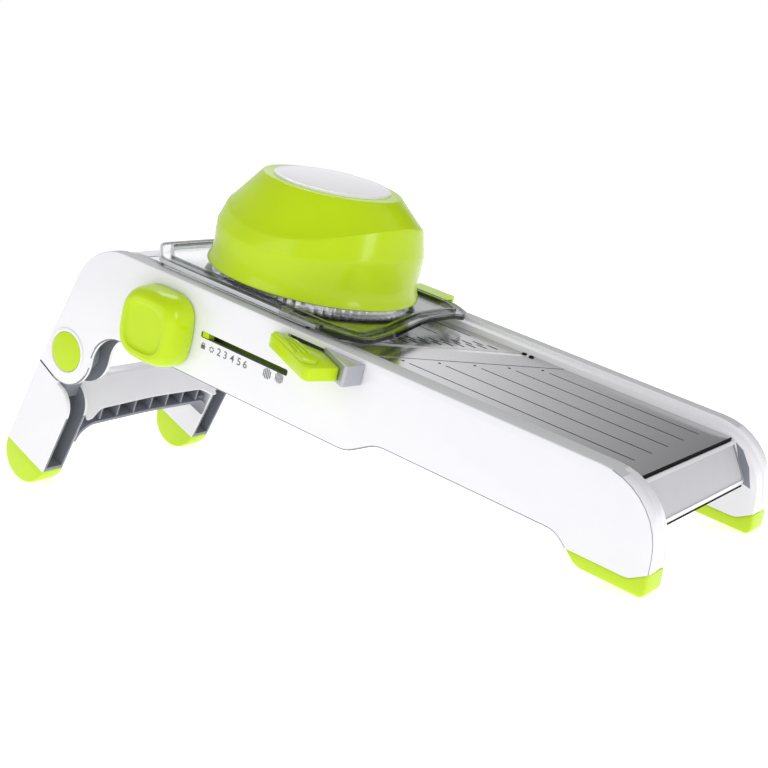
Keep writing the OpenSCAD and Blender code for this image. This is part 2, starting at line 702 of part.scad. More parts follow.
module pivot_cap() {
    cross_rod(-pivot_u, -pivot_drop, out_y - cap_depth, out_y + 0.3, pivot_cap_r - 0.1);
}
module near_pivot_cap() color(lime) rail() mirror([0, 1, 0]) pivot_cap();
module far_pivot_cap() color(lime) rail() pivot_cap();

// Carriage: a clear tray on runners, with a sleeve for the food and a toothed steel ring
tray_v = 1.3;                             // underside of the tray above the rail top
tray_back = -grip_u - rim_r - tray_back_l;
tray_l = 2 * rim_r + tray_back_l + tray_front_l;
tray_half = out_y - 7;
nose_w = 30;                              // width of the nose at the tray's near front corner
runner_y = in_y + 1;
runner_t = ledge_w - 1.6;
module tray_outline(d = 0) {
    front = tray_back + tray_l - d;
    polygon(rounded([
        [tray_back + d, -tray_half + d, 16 - d], [front + 8, -tray_half + d, 20 - d],
        [front + 8, nose_w - tray_half, 24], [front - 2, 4, 40], [front, tray_half - d, 16 - d],
        [tray_back + d, tray_half - d, 16 - d]
    ]));
}

module carriage_tray() color("lightcyan", 0.4) rail() {
    difference() {
        union() {
            translate([0, 0, tray_v]) linear_extrude(tray_t) tray_outline();
            // raised bead round the tray
            translate([0, 0, tray_v + tray_t - eps]) linear_extrude(1.6) difference() {
                tray_outline(4);
                tray_outline(6.4);
            }
            for (side = [-1, 1]) translate([0, side * (runner_y + runner_t / 2), 0])
                box(tray_back + 20, tray_back + tray_l - 22, -runner_t / 2, runner_t / 2,
                    -ledge_drop + gap, tray_v + eps);
        }
        translate([-grip_u, 0, -5]) cylinder(r = food_r, h = 20);
    }
}

sleeve_t = 2;
module guide_sleeve() color("lightcyan", 0.4) rail() translate([-grip_u, 0, tray_v + tray_t])
    difference() {
        cylinder(r = food_r + sleeve_t, h = sleeve_h);
        translate([0, 0, -1]) cylinder(r = food_r, h = sleeve_h + 2);
    }

ring_r = rim_r - 3.4;
ring_h = 2.6;
ring_teeth = 72;
module serrated_ring() color(steel) rail() translate([-grip_u, 0, tray_v + tray_t])
    linear_extrude(ring_h) difference() {
        polygon([for (k = [0:2 * ring_teeth - 1])
            let (r = k % 2 == 0 ? ring_r : ring_r - 1.4, a = k * 180 / ring_teeth)
                [r * cos(a), r * sin(a)]]);
        circle(r = food_r + sleeve_t);
    }

clip_u0 = -grip_u + 22;
clip_l = 22;
module rail_clip() color(lime) rail() {
    box(clip_u0, clip_u0 + clip_l, tray_half - 3, out_y + gap + clip_t, tray_v + tray_t,
        tray_v + tray_t + clip_t);
    box(clip_u0, clip_u0 + clip_l, out_y + gap, out_y + gap + clip_t, -4, tray_v + tray_t + eps);
}

// Pusher: a faceted dome that slides over the sleeve, with a spiked plunger inside it
rim_v = tray_v + tray_t + ring_h + gap;
function dome_profile(d = 0) = [
    [rim_r - d, rim_v], [rim_r - d, rim_v + 1.4], [rim_r - 1.6 - d, rim_v + 4],
    [rim_r - 2 - d, rim_v + 14], [rim_r - 1.5 - d, rim_v + 21], [rim_r - 4 - d, rim_v + 28],
    [rim_r - 7.6 - d, rim_v + 35], [rim_r - 13 - d, rim_v + 41.5],
    [crown_r + 1 - d, rim_v + dome_h - 1 - d], [crown_r - 1 - d, rim_v + dome_h - d]
];
module dome() color(lime) rail() translate([-grip_u, 0, 0]) difference() {
    rotate_extrude($fn = 96) polygon(concat(dome_profile(), [[0, rim_v + dome_h], [0, rim_v]]));
    translate([0, 0, -eps]) rotate_extrude($fn = 96)
        polygon(concat(dome_profile(dome_wall), [[0, rim_v + dome_h - dome_wall], [0, rim_v]]));
    translate([0, 0, rim_v + dome_h - 0.8]) cylinder(r = cap_r, h = 2);
}

module dome_cap() color("white") rail()
    translate([-grip_u, 0, rim_v + dome_h - 0.8]) cylinder(r = cap_r, h = 1.6);

spike_t = 1.2;
spike_l = 3;
plate_v = tray_v + gap + spike_l;
stem_r = 27;
module plunger() color("lightcyan", 0.5) rail() translate([-grip_u, 0, 0]) {
    cup_v = plate_v + spike_t;
    difference() {
        translate([0, 0, cup_v]) cylinder(r = food_r - gap, h = sleeve_h - 6);
        translate([0, 0, cup_v + 2]) cylinder(r = food_r - gap - 2, h = sleeve_h);
    }
    // stem up to the underside of the dome
    difference() {
        translate([0, 0, cup_v]) cylinder(r = stem_r, h = rim_v + dome_h - dome_wall - cup_v);
        translate([0, 0, cup_v + 2]) cylinder(r = stem_r - 2, h = dome_h);
    }
}

spike_rings = [14, 27];
spikes = 10;
module spike_plate() color(steel) rail() translate([-grip_u, 0, plate_v]) {
    cylinder(r = food_r - gap, h = spike_t);
    for (r = spike_rings, k = [0:spikes - 1]) rotate(k * 360 / spikes + r)
        translate([r, 0, -spike_l]) cylinder(r1 = 0.2, r2 = 0.8, h = spike_l + eps, $fn = 24);
}

near_side_frame();
far_side_frame();
high_end_bridge();
outfeed_deck();
outfeed_plate();
end_cover();
near_low_foot();
far_low_foot();
slicing_blade();
blade_screws();
ramp_plate();
ramp_carrier();
dial();
dial_shaft();
pointer_rack();
lever_grip();
lever_arm();
julienne_comb();
stand();
near_rear_foot();
far_rear_foot();
near_hinge_pin();
far_hinge_pin();
near_pivot_cap();
far_pivot_cap();
carriage_tray();
guide_sleeve();
serrated_ring();
rail_clip();
dome();
dome_cap();
plunger();
spike_plate();
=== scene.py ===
"""Mandoline slicer with a folding stand: its looks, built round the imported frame."""
from math import acos, atan2, copysign, cos, degrees, hypot, pi, radians, sin, sqrt, tan

import bmesh
import bpy
from mathutils import Matrix, Vector


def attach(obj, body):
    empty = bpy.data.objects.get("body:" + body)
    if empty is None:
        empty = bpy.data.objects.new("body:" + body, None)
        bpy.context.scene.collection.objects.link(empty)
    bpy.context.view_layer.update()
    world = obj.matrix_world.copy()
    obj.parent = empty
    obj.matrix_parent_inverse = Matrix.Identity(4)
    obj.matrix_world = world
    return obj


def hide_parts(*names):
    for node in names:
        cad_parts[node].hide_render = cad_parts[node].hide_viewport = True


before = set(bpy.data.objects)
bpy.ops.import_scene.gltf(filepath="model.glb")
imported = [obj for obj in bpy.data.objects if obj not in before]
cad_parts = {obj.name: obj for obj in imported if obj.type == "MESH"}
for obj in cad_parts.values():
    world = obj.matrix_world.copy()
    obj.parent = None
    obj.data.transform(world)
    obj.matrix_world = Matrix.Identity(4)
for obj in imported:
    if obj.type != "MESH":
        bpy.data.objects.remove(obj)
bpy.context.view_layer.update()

# ---- camera
AZIMUTH, ELEVATION, ROLL = (radians(a) for a in (35.29, 8.98, -0.33))
scene = bpy.context.scene
lens = bpy.data.cameras.new("camera")
lens.lens, lens.sensor_width, lens.clip_start = 64.006, 36, 0.01
camera = bpy.data.objects.new("camera", lens)
scene.collection.objects.link(camera)
camera.matrix_world = (
    Matrix.Translation((0.400395, -0.529932, 0.166548)) @ Matrix.Rotation(AZIMUTH, 4, "Z")
    @ Matrix.Rotation(pi / 2 - ELEVATION, 4, "X") @ Matrix.Rotation(ROLL, 4, "Z"))
scene.camera = camera

# ---- frames of the parts
MM = 0.001
TILT = radians(15.8)
SHIFT = Vector((6.749, 11.55, 0))  # middle of the rails to the middle of the floor box, mm
RAIL_Z = 97.109
PIVOT_U, PIVOT_DROP = 132.8, 61.8
PIVOT_X = -PIVOT_U * cos(TILT) - PIVOT_DROP * sin(TILT)
PIVOT_Z = RAIL_Z + PIVOT_U * sin(TILT) - PIVOT_DROP * cos(TILT)
LEG_LEAN = radians(32.8)
TO_METRES = Matrix.Scale(MM, 4)
# the rail frame: u down the slope, y across, v out of the rail tops
RAIL = (TO_METRES @ Matrix.Translation(SHIFT + Vector((0, 0, RAIL_Z)))
        @ Matrix.Rotation(TILT, 4, "Y"))
# the leg frame: x down the leg, z towards its front
LEG = (TO_METRES @ Matrix.Translation(SHIFT + Vector((PIVOT_X, 0, PIVOT_Z)))
       @ Matrix.Rotation(pi / 2 + LEG_LEAN, 4, "Y"))


# ---- modelling helpers
def shaping(on):
    """Edit mode on or off for the active piece."""
    bpy.ops.object.mode_set(mode="EDIT" if on else "OBJECT")


def clear():
    """Deselects every piece."""
    bpy.ops.object.select_all(action="DESELECT")


def take(piece):
    """Makes the piece the only one selected."""
    clear()
    bpy.context.view_layer.objects.active = piece
    piece.select_set(True)


def started(name):
    """Names the primitive that was just added."""
    bpy.context.object.name = name
    return bpy.context.object


def whole():
    """Selects all of the mesh that is being shaped."""
    bpy.ops.mesh.select_all(action="SELECT")


def move(vector):
    """Moves what is selected."""
    bpy.ops.transform.translate(value=vector)


def stretch(vector, centre=(0, 0, 0)):
    """Scales what is selected round a centre."""
    bpy.ops.transform.resize(value=vector, center_override=centre)


def settle():
    """Puts the active piece's place, turn and size into its mesh."""
    bpy.ops.object.transform_apply(location=True, rotation=True, scale=True)


def rounded(corners, step=9):
    """A polygon's corners (x, y, radius) as a list of points with the corners turned to arcs."""
    line, count = [], len(corners)
    for i in range(count):
        x, y, *rest = corners[i]
        radius = rest[0] if rest else 0
        here = Vector((x, y))
        before = (Vector(corners[i - 1][:2]) - here).normalized()
        after = (Vector(corners[(i + 1) % count][:2]) - here).normalized()
        half = acos(max(-1, min(1, before.dot(after)))) / 2
        if radius <= 0.01 or half > pi / 2 - 0.01:
            line.append(here)
            continue
        tangent = radius / tan(half)
        middle = here + (before + after).normalized() * (radius / sin(half))
        start, end = here + before * tangent - middle, here + after * tangent - middle
        turn = atan2(start.x * end.y - start.y * end.x, start.dot(end))
        parts = max(2, round(abs(degrees(turn)) / step))
        for k in range(parts + 1):
            a = turn * k / parts
            line.append(middle + Vector((start.x * cos(a) - start.y * sin(a),
                                         start.x * sin(a) + start.y * cos(a))))
    return line


def pick(test, kind="faces"):
    """Selects the faces, edges or vertices of the piece in edit mode that the test is true for."""
    bpy.ops.mesh.select_mode(type=kind[:4].upper())
    bpy.ops.mesh.select_all(action="DESELECT")
    mesh = bmesh.from_edit_mesh(bpy.context.object.data)
    for part in getattr(mesh, kind):
        if test(part):
            part.select_set(True)
    mesh.select_flush(True)
    bmesh.update_edit_mesh(bpy.context.object.data)


def push(vector):
    """Extrudes the selected region by a vector."""
    bpy.ops.mesh.extrude_region_move(TRANSFORM_OT_translate={"value": vector})


def trace(name, points, closed=True):
    """Draws an outline by extruding one vertex from point to point, and fills a closed one."""
    clear()
    bpy.ops.mesh.primitive_plane_add(size=1, location=(0, 0, 0))
    piece = started(name)
    shaping(True)
    bpy.ops.mesh.select_mode(type="VERT")
    whole()
    bpy.ops.mesh.merge(type="CENTER")
    move(points[0])
    for a, b in zip(points, points[1:]):
        push(Vector(b) - Vector(a))
    whole()
    if closed:
        bpy.ops.mesh.edge_face_add()
    return piece


def outward():
    """Merges doubles, turns every face outwards and ends the shaping."""
    whole()
    bpy.ops.mesh.remove_doubles(threshold=0.0005)
    bpy.ops.mesh.normals_make_consistent(inside=False)
    shaping(False)


def slab(name, outline, low, high, axis="Y"):
    """An outline in the plane across the Y or Z axis, made solid from low to high along it."""
    if axis == "Y":
        piece = trace(name, [(p[0], low, p[1]) for p in outline])
        push((0, high - low, 0))
    else:
        piece = trace(name, [(p[0], p[1], low) for p in outline])
        push((0, 0, high - low))
    outward()
    return piece


def ribbon(name, line, low, high, thick):
    """A thin wall that follows a line in the plane across z, from low to high."""
    piece = trace(name, [(p[0], p[1], low) for p in line], closed=False)
    push((0, 0, high - low))
    whole()
    bpy.ops.mesh.normals_make_consistent(inside=False)
    shaping(False)
    return use(piece, "SOLIDIFY", thickness=thick, offset=0, use_even_offset=True)


def use(piece, kind, **settings):
    """Adds a modifier and applies it."""
    take(piece)
    modifier = piece.modifiers.new(kind.lower(), kind)
    for key, value in settings.items():
        setattr(modifier, key, value)
    bpy.ops.object.modifier_apply(modifier=modifier.name)
    return piece


def soften(piece, width, segments=2, angle=40):
    """Rounds every edge that is sharper than the angle."""
    return use(piece, "BEVEL", width=width, segments=segments, limit_method="ANGLE",
               angle_limit=radians(angle), profile=0.5, use_clamp_overlap=True)


def cut(piece, *tools, operation="DIFFERENCE"):
    """Cuts the tools out of the piece one by one, or joins them to it, and removes them."""
    for tool in tools:
        use(piece, "BOOLEAN", operation=operation, solver="EXACT", object=tool)
        bpy.data.objects.remove(tool)
    return piece


def rod(name, centre, radius, low, high, axis="Y", sides=48):
    """A round bar as a cutter or as the start of a turned piece."""
    clear()
    middle = (low + high) / 2
    spot, turn = (*centre, middle), 0
    if axis == "Y":
        spot, turn = (centre[0], middle, centre[1]), pi / 2
    bpy.ops.mesh.primitive_cylinder_add(vertices=sides, radius=radius, depth=high - low,
                                        location=spot, rotation=(turn, 0, 0))
    settle()
    return started(name)


def spaced(count, pitch):
    """Places at an even pitch, centred on zero."""
    return [(k - (count - 1) / 2) * pitch for k in range(count)]


def mirrored(piece, name):
    """A copy of the piece on the other side of the slicer, with its own mesh."""
    take(piece)
    bpy.ops.object.duplicate(linked=False)
    twin = started(name)
    bpy.ops.transform.mirror(constraint_axis=(False, True, False), center_override=(0, 0, 0))
    settle()
    shaping(True)
    outward()
    return twin


def finish_piece(piece, place, finish, body, slot, *nodes, smooth=35):
    """Puts the piece in its place, gives it its finish, and hangs it on its body."""
    take(piece)
    piece.matrix_world = place @ piece.matrix_world
    settle()
    if smooth:
        bpy.ops.object.shade_smooth_by_angle(angle=radians(smooth))
    slots = piece.data.materials
    if slots:
        slots[0] = finish
    else:
        slots.append(finish)
    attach(piece, body)
    if nodes:
        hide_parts(*nodes)
    return piece


def finish_pair(far, finish, body, slot, node=None, place=RAIL, near=None):
    """Finishes a piece of the far side and its mirrored twin on the near side."""
    near = near or mirrored(far, far.name.replace("far", "near"))
    for piece, side in ((far, "far"), (near, "near")):
        finish_piece(piece, place, finish, body, slot, *([f"{side}_{node}"] if node else []))


def line_with(piece, test, finish):
    """Gives the faces that the test is true for another finish, such as painted shade on an inside.
    """
    take(piece)
    slots = piece.data.materials
    if not slots:
        slots.append(finish)
    slots.append(finish)
    piece.active_material_index = len(slots) - 1
    shaping(True)
    pick(test)
    bpy.ops.object.material_slot_assign()
    shaping(False)


# ---- finishes
def hex_colour(code):
    """An sRGB hex value as the linear colour that the shader takes."""
    def channel(pair):
        c = int(pair, 16) / 255
        return c / 12.92 if c <= 0.04045 else ((c + 0.055) / 1.055) ** 2.4
    return (*(channel(code[i:i + 2]) for i in (1, 3, 5)), 1)


def add(tree, kind, settings=None, inputs=None, **links):
    """Adds a node with its settings and input values, and links its inputs."""
    node = tree.nodes.new(kind)
    for key, value in (settings or {}).items():
        setattr(node, key, value)
    for key, value in (inputs or {}).items():
        node.inputs[key].default_value = value
    for key, source in links.items():
        tree.links.new(source, node.inputs[key.replace("_", " ")])
    return node


def new_finish(name, **shader):
    """A material with one Principled shader, whose constants are set on its own sockets."""
    material = bpy.data.materials.new(name)
    material.use_nodes = True
    tree = material.node_tree
    principled = tree.nodes["Principled BSDF"]
    for key, value in shader.items():
        principled.inputs[key.replace("_", " ")].default_value = value
    spot = add(tree, "ShaderNodeTexCoord").outputs["Object"]
    return material, tree, principled, spot


def noise(tree, scale, detail, spot):
    """A noise pattern over the given places."""
    return add(tree, "ShaderNodeTexNoise", inputs={"Scale": scale, "Detail": detail}, Vector=spot)


def surface(tree, principled, relief, gloss, roughness, bump, colours=None):
    """Lays two patterns on a finish: one is its relief and tint, the other varies its gloss."""
    if colours:
        tint = add(tree, "ShaderNodeMix", {"data_type": "RGBA"},
                   {6: hex_colour(colours[0]), 7: hex_colour(colours[1])})
        tree.links.new(relief.outputs["Fac"], tint.inputs[0])
        tree.links.new(tint.outputs[2], principled.inputs["Base Color"])
    dull = add(tree, "ShaderNodeMapRange", inputs={"To Min": roughness[0], "To Max": roughness[1]},
               Value=gloss.outputs["Fac"])
    tree.links.new(dull.outputs["Result"], principled.inputs["Roughness"])
    skin = add(tree, "ShaderNodeBump", inputs={"Strength": bump[0], "Distance": bump[1] * MM},
               Height=relief.outputs["Fac"])
    tree.links.new(skin.outputs["Normal"], principled.inputs["Normal"])


def moulded(name, base, shade, roughness, polish=0.0, **shader):
    """Injection-moulded plastic: a slow drift of colour and gloss where the melt flowed, a very
    fine skin texture, and dust-fine scuffs that only the gloss shows."""
    material, tree, principled, spot = new_finish(
        name, Coat_Weight=polish, Coat_Roughness=0.06, **shader)
    flow = noise(tree, 1 / (FLOW_MM * MM), 2.0, spot)
    scuff = noise(tree, 1 / (SCUFF_MM * MM), 4.0, spot)
    surface(tree, principled, flow, scuff, (roughness * 0.85, roughness * 1.2), (0.02, 0.2),
            (base, shade))
    return material


def ground_steel(name, light, dark, roughness, line_mm):
    """Stainless sheet ground in one direction: fine lines along u that streak the gloss."""
    material, tree, principled, spot = new_finish(name, Metallic=1.0)
    turned_spot = add(tree, "ShaderNodeMapping", inputs={"Rotation": (0, -TILT, 0)}, Vector=spot)
    along, across = 1 / (LINE_L_MM * MM), 1 / (line_mm * MM)
    stretched = add(tree, "ShaderNodeMapping", inputs={"Scale": (along, across, across)},
                    Vector=turned_spot.outputs["Vector"])
    lines = noise(tree, 1.0, 3.0, stretched.outputs["Vector"])
    surface(tree, principled, lines, lines, (roughness * 0.8, roughness * 1.25), (0.02, 0.05),
            (dark, light))
    return material


def clear_plastic(name, tint):
    """Clear polystyrene: glass-like, with faint flow lines that bend what shows through it."""
    material, tree, principled, spot = new_finish(
        name, Base_Color=hex_colour(tint), Transmission_Weight=1.0, IOR=1.59, Coat_Weight=0.2)
    flow = noise(tree, 1 / (CLEAR_FLOW_MM * MM), 1.0, spot)
    surface(tree, principled, flow, flow, (0.02, 0.07), (0.05, 0.3))
    return material


# pattern sizes: flow marks in solid and in clear plastic, scuffs, and a grinding line's length
FLOW_MM, CLEAR_FLOW_MM, SCUFF_MM, LINE_L_MM = 14, 18, 1.6, 38

# gloss ABS from a polished tool: bright white with clean soft reflections
white_abs = moulded("white_gloss_abs", "#F6F5F8", "#F2F1F5", 0.22, polish=0.35)
# grey matt ABS of the parts that the CAD model gives in grey ABS; on the legs' back edge radius the
# same grey is painted shade
grey_abs = moulded("grey_matt_abs_and_painted_edge_shade", "#C9CACD", "#BFC1C5", 0.45, polish=0.05)
# the low cover's sunk panel: a slightly greyer, less glossy white
panel_abs = moulded("etched_white_abs", "#D0CFD2", "#C8C7CA", 0.4, polish=0.05)
# slate grey painted shade for the white mouldings where shade falls: their insides and hollows, the
# window's walls, the legs' channels, the hub, the crossbar's hidden faces, and the edge radius that
# turns from the light; dull
slate_shade_finish = moulded("slate_painted_shade_abs", "#8C8F98", "#81848D", 0.5)
# gloss lime ABS of the dial, lever, dome and caps
lime_abs = moulded("lime_gloss_abs", "#C9E800", "#C2E200", 0.22, polish=0.2, Specular_IOR_Level=0.3)
# the lime darkened as painted shade, for inside the window where no light reaches it
window_shade_finish = moulded("lime_painted_shade_abs", "#7E9C1E", "#769318", 0.5)
# soft lime elastomer of the four feet: the same colour with a dull skin
lime_rubber = moulded("lime_soft_elastomer", "#CDED1C", "#C4E516", 0.4, polish=0.1)
# glass-filled dark ABS of the hidden mechanism
dark_abs = moulded("dark_matt_abs", "#4A4D54", "#43464C", 0.5)
# painted silver ABS of the lever's arm
silver_abs = moulded("silver_painted_abs", "#B9B9C1", "#B2B2BA", 0.3, polish=0.3, Metallic=0.6)
# ground 430 stainless of the plates: fine lines down the slope
plate_steel = ground_steel("ground_stainless", "#D0CED0", "#C4C3C5", 0.18, 0.5)
# harder polished 420 steel of the blade, comb and toothed ring
blade_steel = ground_steel("polished_blade_steel", "#E9E9EB", "#DADADD", 0.16, 0.9)
# the honed bevel of the cutting edge, made white: a painted highlight for the bright line along the
# edge; its fine grinding scatters the light
edge_highlight_finish = moulded("honed_blade_steel", "#FFFFFF", "#FAFAFB", 0.3, polish=0.3, Metallic=0.3)
# near-black painted shade, rough: in the steel's slits, grooves and dimples, on the blade's screw
# heads and the comb, and on the thin lips at the deck's end and under the cover
black_shade_finish = moulded("painted_shade_black", "#1E1D1F", "#171618", 0.9, Specular_IOR_Level=0.1)
# the rails' tops, a satin pale grey: painted shade on the level tops
runway_shade_finish = moulded("satin_grey_abs", "#D0D1D2", "#C8C9CB", 0.5)
# clear polystyrene of the tray and sleeve
clear_ps = clear_plastic("clear_polystyrene", "#EDF1EF")
# the clear tray's upright edges, tinted grey: painted shade for their dark, smoky look
clear_edge_shade_finish = clear_plastic("clear_polystyrene_edge", "#8C908F")
# the same edge on the up-slope half, pale and opaque: a painted highlight for the light it catches
# all along
edge_light_finish = moulded("tray_edge_painted_highlight", "#E2E4E4", "#D2D5D5", 0.25, polish=0.5)
CAD_FINISHES = {
    "white_abs": white_abs, "grey_abs": grey_abs, "lime_abs": lime_abs, "dark_abs": dark_abs,
    "silver_abs": silver_abs, "stainless": plate_steel, "blade_steel": blade_steel,
    "clear_ps": clear_ps,
}

# ---- side frames
OUT_Y, FRAME_T, WALL = 65.0, 15.6, 2.2
IN_Y = OUT_Y - FRAME_T
SKIN_Y, INNER_SKIN_Y = OUT_Y - WALL, IN_Y + WALL
FRAME_H, FRAME_LOW_H = 43.8, 34.8
HIGH_END_U, HIGH_END_R = 126, 30
LOW_END_U, LOW_END_R = 199.5, 31
LEDGE_DROP, LEDGE_W = 1.6, 7.4
SOLE_DROP, PAD_H, TOE_R = 45.2, 5.7, 3
FRONT_LEAN = 4.5
FOOT_U = LOW_END_U - 31.5
BOSS_R, PIVOT_CAP_R, CAP_DEPTH = 17.6, 10.6, 1.4
BACK_SLOPE, SEAM_SLOPE = radians(19.3), radians(24)
SEAM_V0 = -PIVOT_DROP - BOSS_R / cos(SEAM_SLOPE)
SEAM_V = ((SEAM_V0 + (HIGH_END_U - PIVOT_U) * tan(SEAM_SLOPE))
          / (1 + tan(BACK_SLOPE) * tan(SEAM_SLOPE)))
BOSS_END_U = BOSS_R - PIVOT_U
PIVOT_BACK_U = -PIVOT_U - 2
PIVOT = (-PIVOT_U, -PIVOT_DROP)
# the window of the scale and the rack's pointer in it, and the lever's tongue in its slot
POINTER_U, POINTER_W, RACK_TRAVEL = 45.2, 4, 47.13
WINDOW_DROP, WINDOW_H = 21, 3.1
WINDOW_U0, WINDOW_U1 = -POINTER_U - 0.6, -POINTER_U + POINTER_W + RACK_TRAVEL + 2.6
TONGUE_U, TONGUE_W, TONGUE_DROP, TONGUE_H, LEVER_TRAVEL = 28, 17, 6, 2.6, 20


def back_u(v, d=0.0):
    """Where the sloping back edge of a frame lies at a height, a distance d inside it."""
    return -HIGH_END_U + v * tan(BACK_SLOPE) + d / cos(BACK_SLOPE)


def frame_outline(d=0.0):
    """A side frame seen from the side, or the same with its rail and ends a distance d lower."""
    return rounded([
        (back_u(-d, d), -d, HIGH_END_R - d), (back_u(SEAM_V, d), SEAM_V),
        (BOSS_END_U, SEAM_V0 - BOSS_R * tan(SEAM_SLOPE), BOSS_R),
        (BOSS_END_U, -FRAME_H, PIVOT_DROP - FRAME_H), (48.5, -FRAME_H, 16),
        (63.5, -FRAME_LOW_H, 16), (FOOT_U - 12.5, -FRAME_LOW_H, 12), (FOOT_U, -SOLE_DROP, 8),
        (LOW_END_U, -SOLE_DROP, TOE_R), (LOW_END_U - FRONT_LEAN - d, -d, LOW_END_R - d)])


def frame_hollow():
    """The hollow between a frame's skins, open towards the floor."""
    top = LEDGE_DROP + WALL
    floor = PAD_H + WALL - SOLE_DROP
    return rounded([
        (back_u(-top, WALL), -top, HIGH_END_R - top), (back_u(-100, WALL), -100),
        (FOOT_U - 20, -100), (FOOT_U - 20, floor), (LOW_END_U - WALL, floor, 1),
        (LOW_END_U - FRONT_LEAN - WALL, -top, LOW_END_R - top)])


def block(name, u0, u1, y0, y1, v0, v1):
    """A straight cutter between six planes."""
    return slab(name, [(u0, v0), (u1, v0), (u1, v1), (u0, v1)], y0, y1)


def pad_zone():
    """The room of a low foot, whose upper edge sweeps up towards the front."""
    top = PAD_H - SOLE_DROP
    return rounded([(FOOT_U - 14, -SOLE_DROP - 2), (LOW_END_U + 6, -SOLE_DROP - 2),
                    (LOW_END_U + 6, top + 9.2), (LOW_END_U - 9, top, 8), (FOOT_U - 14, top)])


def side_frame(name):
    """One side frame on the far side: two skins and a rim, hollow between them."""
    piece = soften(slab(name, frame_outline(), IN_Y + LEDGE_W, OUT_Y), 0.7, 3, 30)
    inner = slab("inner_rail", frame_outline(LEDGE_DROP), IN_Y, IN_Y + LEDGE_W + 2)
    cut(piece, soften(inner, 0.6, 2, 30), operation="UNION")
    return cut(piece, slab("hollow", frame_hollow(), INNER_SKIN_Y, SKIN_Y),
               slab("pad_room", pad_zone(), IN_Y - 2, OUT_Y + 2),
               rod("cap_seat", PIVOT, PIVOT_CAP_R, OUT_Y - CAP_DEPTH, OUT_Y + 3, sides=72))


def in_hollow(face):
    """A face that lines the hollow between the two skins, under the rail."""
    return all(min(abs(abs(v.co.y) - INNER_SKIN_Y), abs(abs(v.co.y) - SKIN_Y)) < 0.02
               and v.co.z < 0.02 - LEDGE_DROP - WALL for v in face.verts)


def in_window(face):
    """An edge face of the window: it joins the two sides of the outer skin."""
    c = face.calc_center_median()
    return (abs(face.normal.y) < 0.1 and SKIN_Y < abs(c.y) < OUT_Y
            and abs(c.z + WINDOW_DROP) < WINDOW_H and -60 < c.x < 20)


def on_runway(face):
    """The top of a rail, where the carriage's runner and skirt slide."""
    c = face.calc_center_median()
    return face.normal.z > 0.9 and c.z > -LEDGE_DROP - 0.2 and (
        c.y < 0 or c.y > IN_Y + LEDGE_W - 0.1)


def on_outer_radius(face):
    """The small radius round the outer skin where it catches no light: along the low edge, down
    the curved low end and up the high end's back."""
    c, n, outwards = face.calc_center_median(), face.normal, abs(face.normal.y)
    return abs(c.y) > OUT_Y - 0.8 and (
        0.1 < outwards < 0.98 and n.z < -0.1 and c.z < -FRAME_LOW_H + 1
        or 0.3 < outwards < 0.9 and (n.x > 0.12 and c.x > LOW_END_U - 34
                                     or n.x < -0.45 and c.x < PIVOT_BACK_U))


far_frame = side_frame("far_frame")
# the hollow between the skins: slate painted shade
line_with(far_frame, in_hollow, slate_shade_finish)
near_frame = mirrored(far_frame, "near_frame")
low, high = -WINDOW_DROP - WINDOW_H / 2, -WINDOW_DROP + WINDOW_H / 2
window = slab("window", rounded([
    (WINDOW_U0, low, 0.9), (WINDOW_U1, low, 0.9), (WINDOW_U1, high, 0.9), (WINDOW_U0, high, 0.9)],
    30), -OUT_Y - 2, -SKIN_Y + 1)
lever_slot = block("lever_slot", TONGUE_U - LEVER_TRAVEL - 3.5, TONGUE_U + TONGUE_W + 0.3,
                   -OUT_Y - 2, -SKIN_Y + 1, -TONGUE_DROP - TONGUE_H / 2 - 0.3, -2.9)
cut(near_frame, window, lever_slot)
# the walls of the window get the same slate painted shade as the inside
line_with(near_frame, lambda f: in_hollow(f) or in_window(f), slate_shade_finish)
for frame_piece in (far_frame, near_frame):
    # the level rail tops: pale grey painted shade
    line_with(frame_piece, on_runway, runway_shade_finish)
    # the outer edge radius that turns from the light: a thin slate line of painted shade
    line_with(frame_piece, on_outer_radius, slate_shade_finish)
finish_pair(far_frame, white_abs, "body", "white_abs", "side_frame", near=near_frame)

# behind the window: a lime strip on the inner skin, darkened as painted shade
backing = block("window_backing", -POINTER_U - 14, 22, -INNER_SKIN_Y - 0.4, -INNER_SKIN_Y - 0.05,
                -WINDOW_DROP - 9, -WINDOW_DROP + 7)
finish_piece(backing, RAIL, window_shade_finish, "body", "lime_abs")

# ---- low feet
low_pad = slab("far_low_pad", frame_outline(), IN_Y, OUT_Y)
cut(low_pad, slab("pad_zone", pad_zone(), IN_Y - 2, OUT_Y + 2), operation="INTERSECT")
finish_pair(soften(low_pad, 1.2, 3, 50), lime_rubber, "body", "lime_abs", "low_foot")

# ---- the pusher's dome
GRIP_U, FOOD_R, TRAY_V, TRAY_T = 36, 42, 1.3, 2
DOME_TOP, CROWN_R, DOME_WALL = 54.7, 33.6, 1.9
# the pale cap is an oval, narrower along the slope, in a seat a hair wider than itself
SEAT_R, SEAT_HALF_L, SEAT_DEPTH, CAP_R, CAP_HALF_L, CAP_T = 31.3, 28.6, 0.7, 31.2, 28.45, 1.5
DOME_SIDES = 96
# how much of a ring's swing its down-slope and up-slope ends take
SWING_SHARES = ((1, 0.95), (-1, 0.4))
CUP = RAIL @ Matrix.Translation((-GRIP_U, 0, 0))
# the dome's rings from its rim up: radius, height, and how much higher each runs at its up-slope
# and down-slope ends than at its sides
DOME_RINGS = [
    (53.3, 6.2, 0), (54.0, 6.7, 0), (53.9, 7.6, 0), (53.0, 9.4, 0), (52.3, 12.0, 0),
    (52.0, 16.0, 0), (52.3, 20.0, 2.5), (52.3, 24.4, 5.8), (52.3, 25.1, 6.0), (52.0, 25.8, 6.2),
    (49.4, 31.3, 14.0), (48.9, 32.2, 14.3), (48.1, 32.9, 14.0),
    (42.6, 42.0, 8.3), (35.6, 53.3, 0.9), (34.8, 54.3, 0.3), (CROWN_R, DOME_TOP, 0)]


